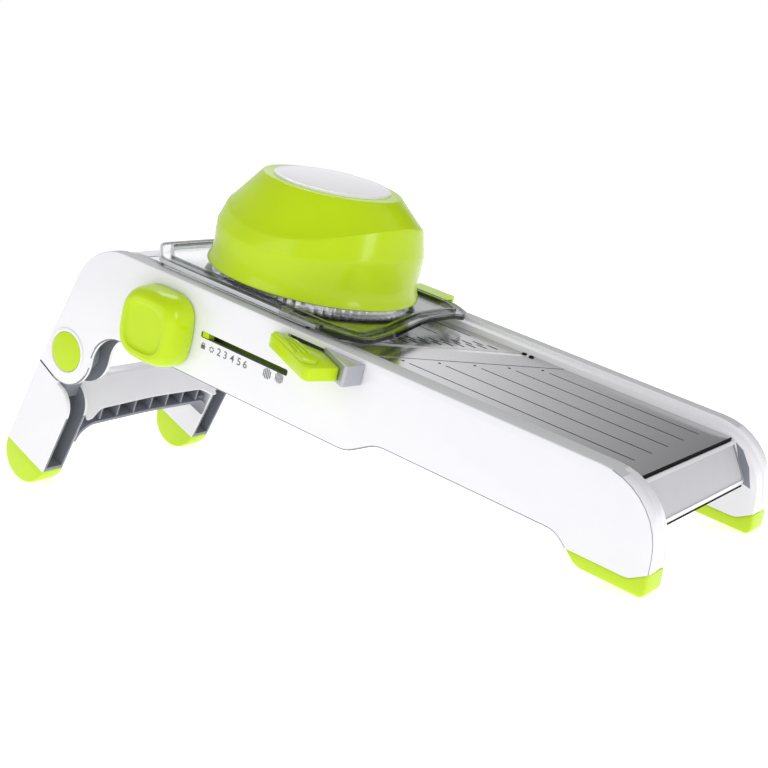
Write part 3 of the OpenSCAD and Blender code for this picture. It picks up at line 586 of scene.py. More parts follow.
def turned(name, rings):
    """A shell turned about its own upright axis, ring by ring."""
    clear()
    radius, height, _ = rings[0]
    bpy.ops.mesh.primitive_circle_add(vertices=DOME_SIDES, radius=radius, location=(0, 0, 0))
    piece = started(name)
    shaping(True)
    bpy.ops.mesh.select_mode(type="EDGE")
    whole()
    move((0, 0, height))
    for (r0, v0, _), (r1, v1, _) in zip(rings, rings[1:]):
        bpy.ops.mesh.extrude_edges_move(TRANSFORM_OT_translate={"value": (0, 0, v1 - v0)})
        stretch((r1 / r0, r1 / r0, 1))
    return piece


def swing_rings(rings):
    """Raises each swinging ring by its share at every place round it, less at the up-slope end."""
    for radius, height, swing in rings:
        if not swing:
            continue
        for k in range(DOME_SIDES // 4):
            along = abs(cos(2 * pi * k / DOME_SIDES)) * radius
            for side, share in SWING_SHARES:
                pick(lambda v: abs(v.co.z - height) < 0.02 and abs(side * v.co.x - along) < 0.3
                     and abs(v.co.xy.length - radius) < 0.1, "verts")
                move((0, 0, share * swing * (along / radius) ** 2))


dome = turned("dome_shell", DOME_RINGS)
swing_rings(DOME_RINGS)
# the flat crown, its narrow ring, and the shallow seat of the pale cap
pick(lambda e: all(abs(v.co.z - DOME_TOP) < 0.02 for v in e.verts), "edges")
bpy.ops.mesh.edge_face_add()
bpy.ops.mesh.inset(thickness=CROWN_R - SEAT_R)
stretch((SEAT_HALF_L / SEAT_R, 1, 1))
bpy.ops.mesh.inset(thickness=0.25)
push((0, 0, -SEAT_DEPTH))
outward()
use(dome, "SOLIDIFY", thickness=DOME_WALL, offset=-1, use_even_offset=True)
finish_piece(dome, CUP, lime_abs, "pusher", "lime_abs", "dome", smooth=28)

# the cap: a pale oval with a soft rim and a slightly dished middle
cap = rod("dome_cap_oval", (0, 0), CAP_R, DOME_TOP - SEAT_DEPTH, DOME_TOP - SEAT_DEPTH + CAP_T,
          "Z", DOME_SIDES)
shaping(True)
whole()
stretch((CAP_HALF_L / CAP_R, 1, 1))
pick(lambda f: f.normal.z > 0.9)
for step, drop in ((0.5, 0.28), (0.7, 0.1), (1.6, -0.12), (9, -0.3), (11, -0.15)):
    bpy.ops.mesh.inset(thickness=step)
    move((0, 0, drop))
outward()
finish_piece(cap, CUP, white_abs, "pusher", "white_abs", "dome_cap")

# ---- the dial
DIAL_U, DIAL_DROP, DIAL_W, DIAL_POWER, DIAL_GAP = 69, 24.6, 37.6, 3.03, 0.3


def squircle(width, count=72):
    """A square with bulging sides and round corners."""
    def bulge(x):
        return copysign(abs(x) ** (2 / DIAL_POWER), x) * width / 2
    turns = (2 * pi * k / count for k in range(count))
    return [(bulge(cos(a)), bulge(sin(a))) for a in turns]


dial = trace("dial_knob", [(x, -OUT_Y - DIAL_GAP, z) for x, z in squircle(DIAL_W - 0.8)])
pick(lambda f: True)
# the side wall, a soft front edge, a raised rim and the shallow panel inside it: how far out each
# step goes, and how wide it is there
for out, width in ((0.5, DIAL_W), (5.0, 37.5), (3.6, 36.6), (2.4, 35.2), (1.6, 33.6), (1.1, 31.8),
                   (0.8, 30.0), (0.35, 28.4), (0.05, 27.4), (-0.1, 24.8), (-0.7, 23.7),
                   (-0.4, 22.6), (-0.05, 20.0), (0.0, 12.0)):
    push((0, -out, 0))
    now = max(abs(v.co.x) for v in bmesh.from_edit_mesh(dial.data).verts if v.select) * 2
    stretch((width / now, 1, width / now), (0, -OUT_Y, 0))
outward()
DIAL = RAIL @ Matrix.Translation((-DIAL_U, 0, -DIAL_DROP))
finish_piece(dial, DIAL, lime_abs, "dial", "lime_abs", "dial", smooth=40)

# ---- pivot caps and the rings round them
RING_R, TRIM_GAP = 12.7, 0.15


def pivot_trim(name, radius, proud, sink):
    """A round plate on the far pivot, sunk into the frame and standing a little proud of it."""
    return rod(name, PIVOT, radius, OUT_Y - sink, OUT_Y + proud, sides=72)


cap_disc = pivot_trim("far_pivot_disc", PIVOT_CAP_R - TRIM_GAP, 0.3, CAP_DEPTH)
soften(cap_disc, 0.27, 3)
ring = pivot_trim("far_pivot_ring", RING_R, 0.5, 0.3)
cut(ring, rod("eye", PIVOT, PIVOT_CAP_R + TRIM_GAP, OUT_Y - 5, OUT_Y + 5, sides=72))
soften(ring, 0.35, 3)
finish_pair(cap_disc, lime_abs, "body", "lime_abs", "pivot_cap")
finish_pair(ring, white_abs, "body", "white_abs")

# ---- the julienne lever
arm = soften(slab("lever_silver_arm", rounded([
    (25.8, -65.35, 0.2), (43.6, -75.6, 0.4), (47.6, -77.9, 1.2), (49.2, -65.35, 0.4)]),
    -11.4, -1.8, "Z"), 0.7, 3)
tongue = block("tongue", TONGUE_U, TONGUE_U + TONGUE_W, -OUT_Y - 2, -INNER_SKIN_Y - 4,
               -TONGUE_DROP - TONGUE_H / 2, -TONGUE_DROP + TONGUE_H / 2)
cut(arm, tongue, operation="UNION")
finish_piece(arm, RAIL, silver_abs, "lever", "silver_abs", "lever_arm")

grip = soften(slab("lever_lime_grip", rounded([
    (-0.2, -66.4, 0.8), (-1.2, -70.6, 1.6), (34.6, -90.2, 2.4), (38.2, -90.1, 1.6),
    (43.2, -75.6), (26.0, -65.6)], 15), -10.6, -4.1, "Z"), 0.7, 3, 50)
finish_piece(grip, RAIL, lime_abs, "lever", "lime_abs", "lever_grip")
# the thumb pad: a raised tongue on the top that ends round, with four fanned ridges
pad = soften(slab("lever_thumb_pad", rounded([
    (0.6, -68.4, 1.0), (0.2, -70.8, 1.2), (32.6, -88.4, 3.6), (37.0, -84.2, 3.0),
    (34.6, -80.2, 3.0), (13.0, -68.4, 4)], 15), -5.0, -2.7, "Z"), 0.6, 2, 50)
finish_piece(pad, RAIL, lime_abs, "lever", "lime_abs")
RIDGES, RIDGE_U, RIDGE_Y = 4, 18.5, -77.0
for k in range(RIDGES):
    spread = 2 * k / (RIDGES - 1) - 1
    ridge = soften(slab(f"thumb_ridge_{k + 1}", [
        (-12.5, -3.0), (10.0, -3.0), (8.0, -2.2), (-10.5, -2.3)], -0.45, 0.45), 0.3)
    turn = (Matrix.Translation((RIDGE_U + 1.4 * spread, RIDGE_Y + 2.6 * spread, 0))
            @ Matrix.Rotation(radians(-30 + 6 * spread), 4, "Z"))
    finish_piece(ridge, RAIL @ turn, lime_abs, "lever", "lime_abs")

# ---- stand
LEG_SIDE, LEG_HALF_W, LEG_T, LEG_WALL = 0.9, 15.7, 14.8, 2.2
LEG_LEN = (PIVOT_Z - LEG_HALF_W - LEG_SIDE * sin(LEG_LEAN)) / cos(LEG_LEAN)
LEG_IN_Y = OUT_Y - LEG_T
LEG_BACK, LEG_FRONT = LEG_SIDE - LEG_HALF_W, LEG_SIDE + LEG_HALF_W
LEG_TOP, BOSS_ROOM_R, CHANNEL_X = BOSS_R + 1.4, BOSS_R + 0.4, BOSS_R - 4
PAST_LEG = (40, 80)  # a cutter's reach across the leg
LUG_R, LUG_GAP, LUG_RINGS, LUG_GROOVE, PIN_BORE_R = 11, 0.4, ((10.0, 8.2), (7.0, 5.6)), 1.4, 4.05
SEAM_TURN = LEG_LEAN - SEAM_SLOPE - TILT


def turned_about_pivot(x, z):
    """A point of the leg turned to the slope of the seam under the frame's boss."""
    return (x * cos(SEAM_TURN) - z * sin(SEAM_TURN),
            x * sin(SEAM_TURN) + z * cos(SEAM_TURN))


def leg_blank(name):
    """The leg's full outline, rounded over its edges: a straight bar with a half-round foot."""
    end = [(LEG_LEN + LEG_HALF_W * cos(a), LEG_SIDE + LEG_HALF_W * sin(a))
           for a in (radians(-90 + 6 * k) for k in range(31))]
    outline = rounded([(0, LEG_BACK), *end, (LEG_TOP, LEG_FRONT, 13), (LEG_TOP, 2), (0, 2)])
    return soften(slab(name, outline, LEG_IN_Y, OUT_Y), 0.9, 3, 25)


def leg(name):
    """A leg's hollow bar: its blank less the boss, the seam, the foot and the channel."""
    seam = [turned_about_pivot(*p) for p in (
        (-100, -100), (BOSS_ROOM_R, -100), (BOSS_ROOM_R, 0), (-100, 0))]
    return cut(leg_blank(name), rod("boss_room", (0, 0), BOSS_ROOM_R, *PAST_LEG, sides=128),
               slab("seam", seam, *PAST_LEG),
               block("foot", LEG_LEN, LEG_LEN + 60, *PAST_LEG, -60, 60),
               block("channel", CHANNEL_X, LEG_LEN - LEG_WALL, LEG_IN_Y + LEG_WALL,
                     OUT_Y - LEG_WALL, LEG_BACK + LEG_WALL, 60))


def in_channel(face):
    """A face of the channel's walls or floor, but not of their front edges."""
    c = face.calc_center_median()
    return (LEG_IN_Y + LEG_WALL - 0.01 < c.y < OUT_Y - LEG_WALL + 0.01
            and CHANNEL_X <= c.x <= LEG_LEN - LEG_WALL + 0.01 and c.z > LEG_BACK + LEG_WALL - 0.01)


far_leg = leg("far_leg")
# the inside of the leg's channel: slate painted shade
line_with(far_leg, in_channel, slate_shade_finish)
# the rounded edge between the leg's outer side and its back: grey painted shade
line_with(far_leg, lambda f: 0.3 < f.normal.y < 0.9 and f.normal.z < -0.3, grey_abs)
near_leg = mirrored(far_leg, "near_leg")


def hub(name):
    """The hinge lug inside the boss: a round plate with two raised rings round the pin, on a neck
    that runs down into the leg's channel."""
    low, high = INNER_SKIN_Y + LUG_GAP, SKIN_Y - LUG_GAP
    piece = rod(name, (0, 0), LUG_R, low, high, sides=64)
    cut(piece, slab("neck", [(0, 1 - LUG_R), (BOSS_R + 8, 1 - LUG_R), (BOSS_R + 8, 7), (0, 7)],
                    low, high), operation="UNION")
    for outer, inner in LUG_RINGS:
        ring = rod("ring_groove", (0, 0), outer, INNER_SKIN_Y - 1, INNER_SKIN_Y + LUG_GROOVE,
                   sides=64)
        cut(piece, cut(ring, rod("ring_core", (0, 0), inner, 0, 90, sides=64)))
    cut(piece, rod("pin_bore", (0, 0), PIN_BORE_R, 0, 90, sides=48))
    return soften(piece, 0.3)


# the hinge lug, slate as painted shade inside the boss
finish_pair(hub("far_hub"), slate_shade_finish, "stand", "grey_abs", place=LEG)

# crossbar: a sloping front panel with an arched lip, over an open box with upright ribs
BAR_HALF = LEG_IN_Y + 0.2
BAR_TOP, BAR_DEPTH, BAR_BACK_Z, BAR_FRONT_Z = LEG_TOP, 20, -4, 2.4
LIP_X, LIP_Z, PANEL_T = 30.6, 16.4, 1.8
panel_length = hypot(LIP_X - BAR_TOP, LIP_Z - BAR_FRONT_Z)
panel_turn = atan2(LIP_Z - BAR_FRONT_Z, LIP_X - BAR_TOP)
# the panel lies in its own plane: x down the panel, y across; its lip dips at both ends
lip = rounded([
    (0, -BAR_HALF), (0, BAR_HALF), (panel_length + 4.0, BAR_HALF, 0.8),
    (panel_length + 3.6, BAR_HALF - 3.5, 2.5), (panel_length - 0.8, BAR_HALF - 11, 14),
    (panel_length - 1.8, 0, 200), (panel_length - 0.8, 11 - BAR_HALF, 14),
    (panel_length + 3.6, 3.5 - BAR_HALF, 2.5), (panel_length + 4.0, -BAR_HALF, 0.8)], 6)
panel = soften(slab("crossbar_panel", lip, -PANEL_T, 0, "Z"), 0.5, 3)
PANEL = Matrix.Translation((BAR_TOP, 0, BAR_FRONT_Z)) @ Matrix.Rotation(-panel_turn, 4, "Y")

# the lower flange: a thin wall that runs level and sweeps down into both legs
FLANGE_X, SWEEP, SWEEP_R, FLANGE_T, FLANGE_FRONT = BAR_TOP + BAR_DEPTH + 0.2, 11, 10.5, 1.8, 16.4
flange_half = BAR_HALF - 0.6
sweep = rounded([
    (FLANGE_X + SWEEP + 0.5, -flange_half), (FLANGE_X + 0.4, -flange_half, SWEEP_R),
    (FLANGE_X - 1.0, 0, 300), (FLANGE_X + 0.4, flange_half, SWEEP_R),
    (FLANGE_X + SWEEP + 0.5, flange_half)], 6)
flange = ribbon("crossbar_flange", sweep, BAR_BACK_Z, FLANGE_FRONT, FLANGE_T)
# the flange's faces that don't face the front: slate painted shade
line_with(flange, lambda f: f.normal.z < 0.5, slate_shade_finish)
gussets = []
for side, name in ((-1, "near"), (1, "far")):
    corner = [(FLANGE_X, side * BAR_HALF), (FLANGE_X + SWEEP, side * BAR_HALF),
              (FLANGE_X + SWEEP, side * flange_half)]
    arc = [(FLANGE_X + SWEEP_R * (1 - sin(a)),
            side * (BAR_HALF + SWEEP_R * (cos(a) - 1)))
           for a in (radians(9 * k) for k in range(11))]
    gussets.append(slab(f"crossbar_gusset_{name}", [*corner, *arc], BAR_BACK_Z + 0.1, 12.5, "Z"))
wall = soften(block("crossbar_back", BAR_TOP + 0.6, BAR_TOP + BAR_DEPTH - 1, -BAR_HALF, BAR_HALF,
                    BAR_BACK_Z, -PANEL_T), 0.3)
top = soften(block("crossbar_top", BAR_TOP, BAR_TOP + 2.2, -BAR_HALF, BAR_HALF, BAR_BACK_Z,
                   BAR_FRONT_Z), 0.4)
RIBS, RIB_PITCH, RIB_T = 7, 12.5, 1.2
ribs = []
for k, y in enumerate(spaced(RIBS, RIB_PITCH)):
    rib = slab(f"crossbar_rib_{k + 1}", [
        (BAR_TOP + 1, -2.4), (FLANGE_X - 1.6, -2.4), (FLANGE_X - 1.6, FLANGE_FRONT - 0.4),
        (LIP_X - 1.0, LIP_Z - 1.6), (LIP_X - 2.2, LIP_Z - 5.2), (BAR_TOP + 1, 0.4)],
        y - RIB_T / 2, y + RIB_T / 2)
    # the ribs' flat sides: slate painted shade
    line_with(rib, lambda f: abs(f.normal.y) > 0.9, slate_shade_finish)
    ribs.append(rib)
for piece in (far_leg, near_leg):
    finish_piece(piece, LEG, white_abs, "stand", "white_abs", "stand")
# the back wall and the gussets: slate painted shade
for piece in (wall, *gussets):
    finish_piece(piece, LEG, slate_shade_finish, "stand", "grey_abs")
for piece in (flange, top, *ribs):
    finish_piece(piece, LEG, white_abs, "stand", "white_abs")
finish_piece(panel, LEG @ PANEL, white_abs, "stand", "white_abs")
# the rear foot: the half-round end of the leg, with a flat seam
rear_pad = cut(leg_blank("far_rear_pad"), block("leg_side", -60, LEG_LEN, *PAST_LEG, -60, 60))
finish_pair(soften(rear_pad, 0.3, 2, 60), lime_rubber, "stand", "lime_abs", "rear_foot", LEG)

# ---- the steel deck
PLATE_END_U, PLATE_DROP, PLATE_T = 177.7, 4.3, 0.8
DECK_V, PLATE_HALF = -PLATE_DROP - PLATE_T, IN_Y - 0.8
EDGE_U, SKEW, BLADE_W, BLADE_T, EDGE_GAP = 14.3, radians(28.7), 21, 1.0, 0.8
GROOVES, GROOVE_PITCH, GROOVE_W, GROOVE_MARGIN, RAMP_GROOVE_Y = 5, 16.8, 0.9, 10, 41
SLIT_PITCH, SLIT_W, SLIT_L, ROW_BACK = 5.6, 1.3, 6, (4.5, 10)
SLITS = int((2 * PLATE_HALF - 14) / SLIT_PITCH)
RAMP_TOP_U = HIGH_END_U - 17.4
SHEET_CUTS = 15


def edge_at(y, d=0.0):
    """How far down the rail the skewed cutting edge lies at a place across it."""
    return EDGE_U + (y + PLATE_HALF) * tan(SKEW) + d


def sheet(name, outline, slots):
    """A steel sheet with slots pressed out of it; the slots' long walls and floors get near-black
    painted shade.
    """
    piece = slab(name, outline, DECK_V, -PLATE_DROP, "Z")
    # small faces first, so that no face of the cut sheet has more than one hole
    shaping(True)
    whole()
    bpy.ops.mesh.subdivide(number_cuts=SHEET_CUTS)
    shaping(False)
    cut(piece, *[block("slot", u0, u1, y0, y1, v0, 0) for u0, u1, y0, y1, v0 in slots])
    inner_half = PLATE_HALF - 2
    line_with(piece, lambda f: abs(f.calc_center_median().y) < inner_half and (
        abs(f.normal.z) < 0.5 and abs(f.normal.y) > 0.9
        or f.normal.z > 0.9 and f.calc_center_median().z < -PLATE_DROP - 0.1), black_shade_finish)
    return piece


def groove(y, u0, u1):
    """A long groove along the rail, half as deep as the sheet: its four sides and its bottom."""
    return (u0, u1, y - GROOVE_W / 2, y + GROOVE_W / 2, DECK_V + PLATE_T / 2)


def slit(y, row):
    """A short slot behind the edge, nearly as deep as the sheet, in one of two staggered rows."""
    y = y - row * SLIT_PITCH / 2 + 1
    u = edge_at(y, -EDGE_GAP - ROW_BACK[row])
    return (u - SLIT_L, u, y - SLIT_W / 2, y + SLIT_W / 2, DECK_V + 0.15)


ramp = sheet("ramp_sheet", [
    (-RAMP_TOP_U, -PLATE_HALF), (edge_at(-PLATE_HALF, -EDGE_GAP), -PLATE_HALF),
    (edge_at(PLATE_HALF, -EDGE_GAP), PLATE_HALF), (-RAMP_TOP_U, PLATE_HALF)],
    [slit(y, row) for row in (0, 1) for y in spaced(SLITS, SLIT_PITCH)]
    + [groove(y, GROOVE_MARGIN - RAMP_TOP_U, edge_at(y, -26))
       for y in (RAMP_GROOVE_Y - k * GROOVE_PITCH for k in range(GROOVES))])
finish_piece(ramp, RAIL, plate_steel, "ramp", "stainless", "ramp_plate", smooth=0)
groove_ys = spaced(GROOVES, GROOVE_PITCH)
outfeed_u = BLADE_W + 0.4
outfeed = sheet("outfeed_sheet", [
    (edge_at(-PLATE_HALF, outfeed_u), -PLATE_HALF), (PLATE_END_U, -PLATE_HALF),
    (PLATE_END_U, PLATE_HALF), (edge_at(PLATE_HALF, outfeed_u), PLATE_HALF)],
    [groove(y, edge_at(y, BLADE_W + 8), PLATE_END_U - GROOVE_MARGIN) for y in groove_ys])
finish_piece(outfeed, RAIL, plate_steel, "body", "stainless", "outfeed_plate", smooth=0)
# a small punched dimple before the head of each groove, near-black as painted shade
for k, y in enumerate(groove_ys):
    dimple = rod(f"groove_dimple_{k + 1}", (edge_at(y, BLADE_W + 4.4), y), 0.8,
                 -PLATE_DROP - 0.2, -PLATE_DROP + 0.03, "Z", 16)
    finish_piece(dimple, RAIL, black_shade_finish, "body", "stainless")

# the blade: a strip along the skewed edge, whose ground top rises a little from the edge
BEVEL_W, BEVEL_DROP = 3.4, 0.2
blade_reach = BLADE_W * cos(SKEW)
blade = slab("blade_strip", [
    (0, DECK_V + BLADE_T - BEVEL_DROP), (BEVEL_W, DECK_V + BLADE_T),
    (blade_reach, DECK_V + BLADE_T), (blade_reach, DECK_V), (1.0, DECK_V)], -80, 80)
blade.matrix_world = Matrix.Translation((edge_at(0), 0, 0)) @ Matrix.Rotation(-SKEW, 4, "Z")
take(blade)
settle()
for side in (-1, 1):
    cut(blade, block("end", -150, 150, *sorted((side * PLATE_HALF, side * 120)), -20, 20))
# the honed bevel: white painted highlight along the cutting edge
line_with(blade, lambda f: 0.9 < f.normal.z < 0.9995, edge_highlight_finish)
finish_piece(blade, RAIL, plate_steel, "body", "blade_steel", "slicing_blade", smooth=0)

# the two screws at each end of the blade, near-black as painted shade
SCREW_Y, SCREW_BACKS, SCREW_R, SCREW_SLOT = 46.2, (0.4, 4.6), 1.4, 0.5
for side, name in ((1, "far"), (-1, "near")):
    y = side * SCREW_Y
    for k, d in enumerate(SCREW_BACKS):
        u = edge_at(y, d)
        head = rod(f"{name}_blade_screw_{k + 1}", (u, y), SCREW_R, -5.5, -3.5, "Z", 24)
        cut(soften(head, 0.3, 2, 30), block("slot", u - SCREW_SLOT / 2, u + SCREW_SLOT / 2,
                                        y - 1.0, y + 1.0, -3.8, -3))
        nodes = ("blade_screws",) if side == 1 and k == 0 else ()
        finish_piece(head, RAIL, black_shade_finish, "body", "stainless", *nodes)

# ---- the clear carriage tray
TRAY_BACK_U, TRAY_HALF = -107, 58
RUNNER_Y, RUNNER_W = IN_Y + 1, 5.8
# the tray seen from above: chamfered at the back, with a waved front edge
tray_line = rounded([
    (TRAY_BACK_U, -38, 12), (-86.5, -TRAY_HALF, 12), (17, -TRAY_HALF, 26), (38.2, -52.6, 11),
    (35.2, -24.9, 40), (25.6, 16, 50), (26.4, 38.6, 6), (29.8, 43.6, 3), (26.6, 51.2, 8),
    (15, TRAY_HALF, 14), (-86.5, TRAY_HALF, 12), (TRAY_BACK_U, 38, 12)], 8)


def reach(point, a, b):
    """The distance from a point to the straight piece from a to b."""
    share = max(0, min(1, (point - a).dot(b - a) / max(1e-9, (b - a).length_squared)))
    return (point - a - (b - a) * share).length


def inset_line(line, width):
    """The same closed line drawn a constant width further in (the line runs anticlockwise)."""
    inner, count = [], len(line)
    for i in range(count):
        a = (line[i] - line[i - 1]).normalized()
        b = (line[(i + 1) % count] - line[i]).normalized()
        across = Vector((-a.y - b.y, a.x + b.x)).normalized()
        inner.append(line[i] + across * (width / max(0.5, across.dot(Vector((-a.y, a.x))))))
    # at a tight bend the line would cross itself: only points at the full width stay
    return [p for p in inner if min(reach(p, q, r) for q, r in zip(line, line[1:] + line[:1]))
            > width - 0.08]


tray_line = [p for p, q in zip(tray_line, tray_line[1:] + tray_line[:1]) if (p - q).length > 0.05]
TRAY_TOP = TRAY_V + TRAY_T
tray = slab("carriage_tray_clear", tray_line, TRAY_V, TRAY_TOP, "Z")
cut(tray, rod("food_opening", (-GRIP_U, 0), FOOD_R, -5, 12, "Z", DOME_SIDES))
# the tray's upright edges: a pale painted highlight on the up-slope half, grey painted shade on the
# down-slope half
line_with(tray, lambda f: abs(f.normal.z) < 0.5 and f.calc_center_median().x < 0, edge_light_finish)
line_with(tray, lambda f: abs(f.normal.z) < 0.5 and f.calc_center_median().x >= 0, clear_edge_shade_finish)
finish_piece(tray, RAIL, clear_ps, "carriage", "clear_ps", "carriage_tray", smooth=30)
# the raised rim along the edge, and the bead that keeps the ring's seat
for name, inset, width, rise in (("tray_rim", 0.9, 1.1, 0.7), ("tray_bead", 6.2, 1.5, 1.6)):
    line = inset_line(tray_line, inset)
    wall = ribbon(name, [*line, line[0]], TRAY_TOP + 0.01, TRAY_TOP + rise, width)
    shaping(True)
    outward()
    # the upright faces of the rim and bead: grey painted shade
    line_with(wall, lambda f: abs(f.normal.z) < 0.5, clear_edge_shade_finish)
    finish_piece(wall, RAIL, clear_ps, "carriage", "clear_ps", smooth=30)
runner = soften(block("far_tray_runner", TRAY_BACK_U + 20, 7, RUNNER_Y, RUNNER_Y + RUNNER_W,
                      0.3 - LEDGE_DROP, TRAY_V - 0.02), 0.4)
finish_pair(runner, clear_ps, "carriage", "clear_ps")
# the latch on the near edge: a small block and a long bar beside it
for name, u0, u1, rise in (
        ("tray_latch_block", -7.6, -1.4, 2.2), ("tray_latch_bar", -0.4, 16.6, 1.4)):
    piece = soften(block(name, u0, u1, -TRAY_HALF - 1.4, -TRAY_HALF + 1.2, TRAY_V + 0.3,
                         TRAY_TOP + rise), 0.35)
    finish_piece(piece, RAIL, clear_ps, "carriage", "clear_ps")

# ---- the low end's cover
COVER_LEAN, COVER_H, COVER_PLATE = radians(34), 20, 2.2
COVER_TOP_U, COVER_TOP_V = PLATE_END_U + 1.3, -PLATE_DROP - 1.2
# the cover lies in its own plane: x down it, y across, z out of it
COVER = (RAIL @ Matrix.Translation((COVER_TOP_U, 0, COVER_TOP_V))
         @ Matrix.Rotation(pi / 2 - COVER_LEAN, 4, "Y"))
half = IN_Y - 0.1
cover_line = rounded([(0, -half, 0.5), (COVER_H, -half, 4), (COVER_H, half, 4), (0, half, 0.5)])
cover = soften(slab("end_cover_panel", cover_line, -COVER_PLATE, 0, "Z"), 0.6, 3)
shaping(True)
pick(lambda f: f.normal.z > 0.95)
bpy.ops.mesh.inset(thickness=1.6)
bpy.ops.mesh.inset(thickness=0.3)
move((0, 0, -0.2))
shaping(False)
line_with(cover, lambda f: f.normal.z > 0.95 and f.calc_center_median().z < -0.1, panel_abs)
finish_piece(cover, COVER, white_abs, "body", "white_abs", "end_cover")
# a thin slate sheet on the far frame's inner face beyond the cover: painted shade
shade_patch = slab("far_frame_recess", [
    (180.4, -6), (184.6, -8.2), (189.7, -15), (193, -24), (188.6, -23)], IN_Y - 0.12, IN_Y + 0.05)
finish_piece(shade_patch, RAIL, slate_shade_finish, "body", "white_abs")
# thin near-black lips above and below it, at the deck's end and under the cover: painted shade for
# the gaps there
upper = block("deck_end_shade_lip", PLATE_END_U - 0.3, PLATE_END_U + 0.3, -IN_Y + 0.4, IN_Y - 0.4,
              -PLATE_DROP - 3.4, -PLATE_DROP - 0.1)
lower = slab("cover_low_shade_lip", [(COVER_H, 4 - IN_Y), (COVER_H + 0.8, 4.6 - IN_Y),
                               (COVER_H + 0.8, IN_Y - 4.6), (COVER_H, IN_Y - 4)],
             -COVER_PLATE, -0.3, "Z")
finish_piece(soften(upper, 0.3), RAIL, black_shade_finish, "body", "grey_abs")
finish_piece(soften(lower, 0.2), COVER, black_shade_finish, "body", "grey_abs")

# ---- the scale under the window
MARK_V, MARK_T, DIGIT_SIZE = -26.3, 0.04, 5.2
UPRIGHT = RAIL @ Matrix.Translation((0, -OUT_Y - 0.02, 0)) @ Matrix.Rotation(pi / 2, 4, "X")
# printing ink, a soft grey film with no gloss
scale_ink = moulded("grey_printing_ink", "#77777D", "#6E6E75", 0.6)


def mark(piece):
    """A printed mark, drawn in the plane of u and v, on the near frame's side."""
    return finish_piece(piece, UPRIGHT, scale_ink, "body", "white_abs", smooth=0)


for digit, u in (("2", -33.1), ("3", -29.0), ("4", -24.6), ("5", -20.3), ("6", -16.4)):
    clear()
    bpy.ops.object.text_add(location=(u, MARK_V - 1.4, 0))
    label = bpy.context.object.data
    label.body, label.size, label.align_x = digit, DIGIT_SIZE, "CENTER"
    label.extrude, label.offset = MARK_T, 0.05
    bpy.ops.object.convert(target="MESH")
    mark(started(f"scale_{digit}"))


def disc(name, centre, radius, hole=0.0, sides=24):
    """A round mark, with a hole in it or without."""
    piece = rod(name, centre, radius, 0, MARK_T, "Z", sides)
    return cut(piece, rod("hole", centre, hole, -1, 1, "Z", sides)) if hole else piece


def bar(name, u, v, width, height):
    """A rectangular mark round its middle."""
    return block(name, u - width / 2, u + width / 2, v - height / 2, v + height / 2, 0, MARK_T)


# a padlock for the shut place, a small rosette, and two striped discs for the julienne widths
LOCK_U, ROSE_U, ROSE_R, PETALS = -43.3, -37.8, 1.15, 7
STRIPED_R, STRIPED_PITCH = 2.6, 4.9
mark(bar("scale_lock_body", LOCK_U, MARK_V - 0.55, 2.6, 1.9))
mark(disc("scale_lock_bow", (LOCK_U, MARK_V + 0.7), 0.95, 0.5))
for k in range(PETALS):
    a = 2 * pi * k / PETALS
    mark(disc(f"scale_rosette_{k + 1}", (ROSE_U + ROSE_R * cos(a), MARK_V + ROSE_R * sin(a)),
              0.42, sides=10))
for number, u, v, bars, width in ((1, -2.8, MARK_V + 0.9, 5, 0.6), (2, 4.5, MARK_V + 1.5, 7, 0.42)):
    for k, off in enumerate(spaced(bars, STRIPED_PITCH / bars)):
        mark(bar(f"scale_disc_{number}_bar_{k + 1}", u + off, v, width,
                 2 * sqrt(STRIPED_R ** 2 - off ** 2)))

# ---- the rest of the CAD pieces
# the steel comb gets the near-black finish: painted shade in its slots
SHADE_PAINTED_FINISHES = {"julienne_comb": black_shade_finish}
for name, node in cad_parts.items():
    for slot in node.material_slots:
        key = next((k for k in CAD_FINISHES if slot.material and k in slot.material.name), None)
        slot.material = SHADE_PAINTED_FINISHES.get(name, CAD_FINISHES.get(key, white_abs))

# ---- floor, light
clear()
bpy.ops.mesh.primitive_plane_add(size=60, location=(0, 0, 0))
floor = started("floor")
# white acrylic lit from below, so that the floor stays white
floor.data.materials.append(new_finish(
    "white_light_table", Roughness=0.6, Base_Color=hex_colour("#F2F2F2"),
    Emission_Color=(1, 1, 1, 1), Emission_Strength=0.66)[0])

scene.view_settings.view_transform = "Standard"
world = bpy.data.worlds.new("studio")
scene.world = world
world.use_nodes = True
tree = world.node_tree
sky = tree.nodes["Background"]
sky.inputs["Strength"].default_value = 0.76
# a pale room, darker overhead, so that level tops read greyer than upright sides
direction = add(tree, "ShaderNodeTexCoord").outputs["Generated"]
height = add(tree, "ShaderNodeSeparateXYZ", Vector=direction)
room = add(tree, "ShaderNodeValToRGB", Fac=height.outputs["Z"])
stops = room.color_ramp.elements
for place, shade in ((0, 1.0), (0.45, 0.95), (0.8, 0.6)):
    (stops.new(place) if place else stops[0]).color = (shade, shade, shade * 1.02, 1)
stops[-1].color = (0.58, 0.58, 0.6, 1)
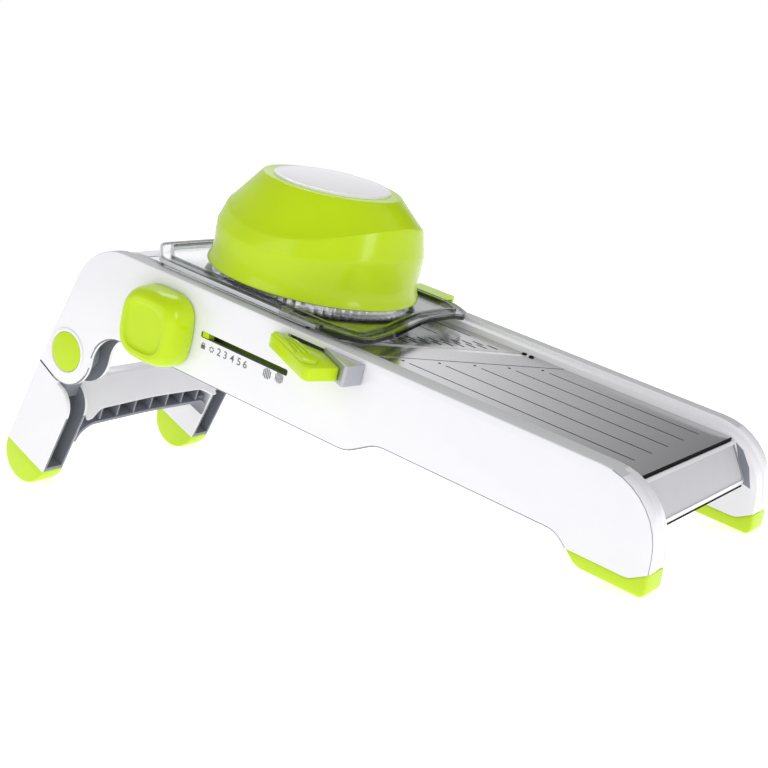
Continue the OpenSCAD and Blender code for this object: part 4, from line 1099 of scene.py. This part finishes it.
# a black flag past the low end, so that the steel's reflection fades, and a lit screen behind:
# azimuth, height, where each starts and ends, and how bright it leaves the room there
shares = []
for azimuth, rise, start, end, dim, bright in (
        (82, 0.4, 0.87, 1.0, 0.95, 0.05), (130, 0.78, 0.92, 0.975, 1.0, 1.9)):
    aim = Vector((cos(radians(azimuth)), sin(radians(azimuth)), rise))
    facing = add(tree, "ShaderNodeVectorMath", {"operation": "DOT_PRODUCT"}, {1: aim.normalized()},
                 Vector=direction)
    shares.append(add(tree, "ShaderNodeMapRange", {"interpolation_type": "SMOOTHSTEP"},
                      {"From Min": start, "From Max": end, "To Min": dim, "To Max": bright},
                      Value=facing.outputs["Value"]))
share = add(tree, "ShaderNodeMath", {"operation": "MULTIPLY"})
for k in range(2):
    tree.links.new(shares[k].outputs["Result"], share.inputs[k])
shaded = add(tree, "ShaderNodeVectorMath", {"operation": "SCALE"}, Vector=room.outputs["Color"],
             Scale=share.outputs["Value"])
tree.links.new(shaded.outputs["Vector"], sky.inputs["Color"])
paper_white = add(tree, "ShaderNodeBackground", inputs={"Color": (1, 1, 1, 1), "Strength": 1.0})
path = add(tree, "ShaderNodeLightPath")
mixed = add(tree, "ShaderNodeMixShader", Fac=path.outputs["Is Camera Ray"])
tree.links.new(sky.outputs["Background"], mixed.inputs[1])
tree.links.new(paper_white.outputs["Background"], mixed.inputs[2])
tree.links.new(mixed.outputs["Shader"], tree.nodes["World Output"].inputs["Surface"])


def lamp(name, place, aim, size, power):
    """A soft box at a place, turned to what it lights."""
    data = bpy.data.lights.new(name, "AREA")
    data.shape = "RECTANGLE"
    data.size, data.size_y = size
    data.energy = power
    light = bpy.data.objects.new(name, data)
    scene.collection.objects.link(light)
    light.location = place
    light.rotation_euler = (Vector(aim) - Vector(place)).to_track_quat("-Z", "Y").to_euler()


lamp("front_softbox", (-0.25, -1.3, 0.75), (0, 0, 0.08), (0.9, 0.6), 2.1)
lamp("end_strip", (0.99, -0.06, 0.36), (0, 0, 0.14), (0.24, 0.46), 1.4)
lamp("top_softbox", (-0.3, 0.5, 1.0), (0, 0, 0.1), (0.5, 0.3), 1.5)
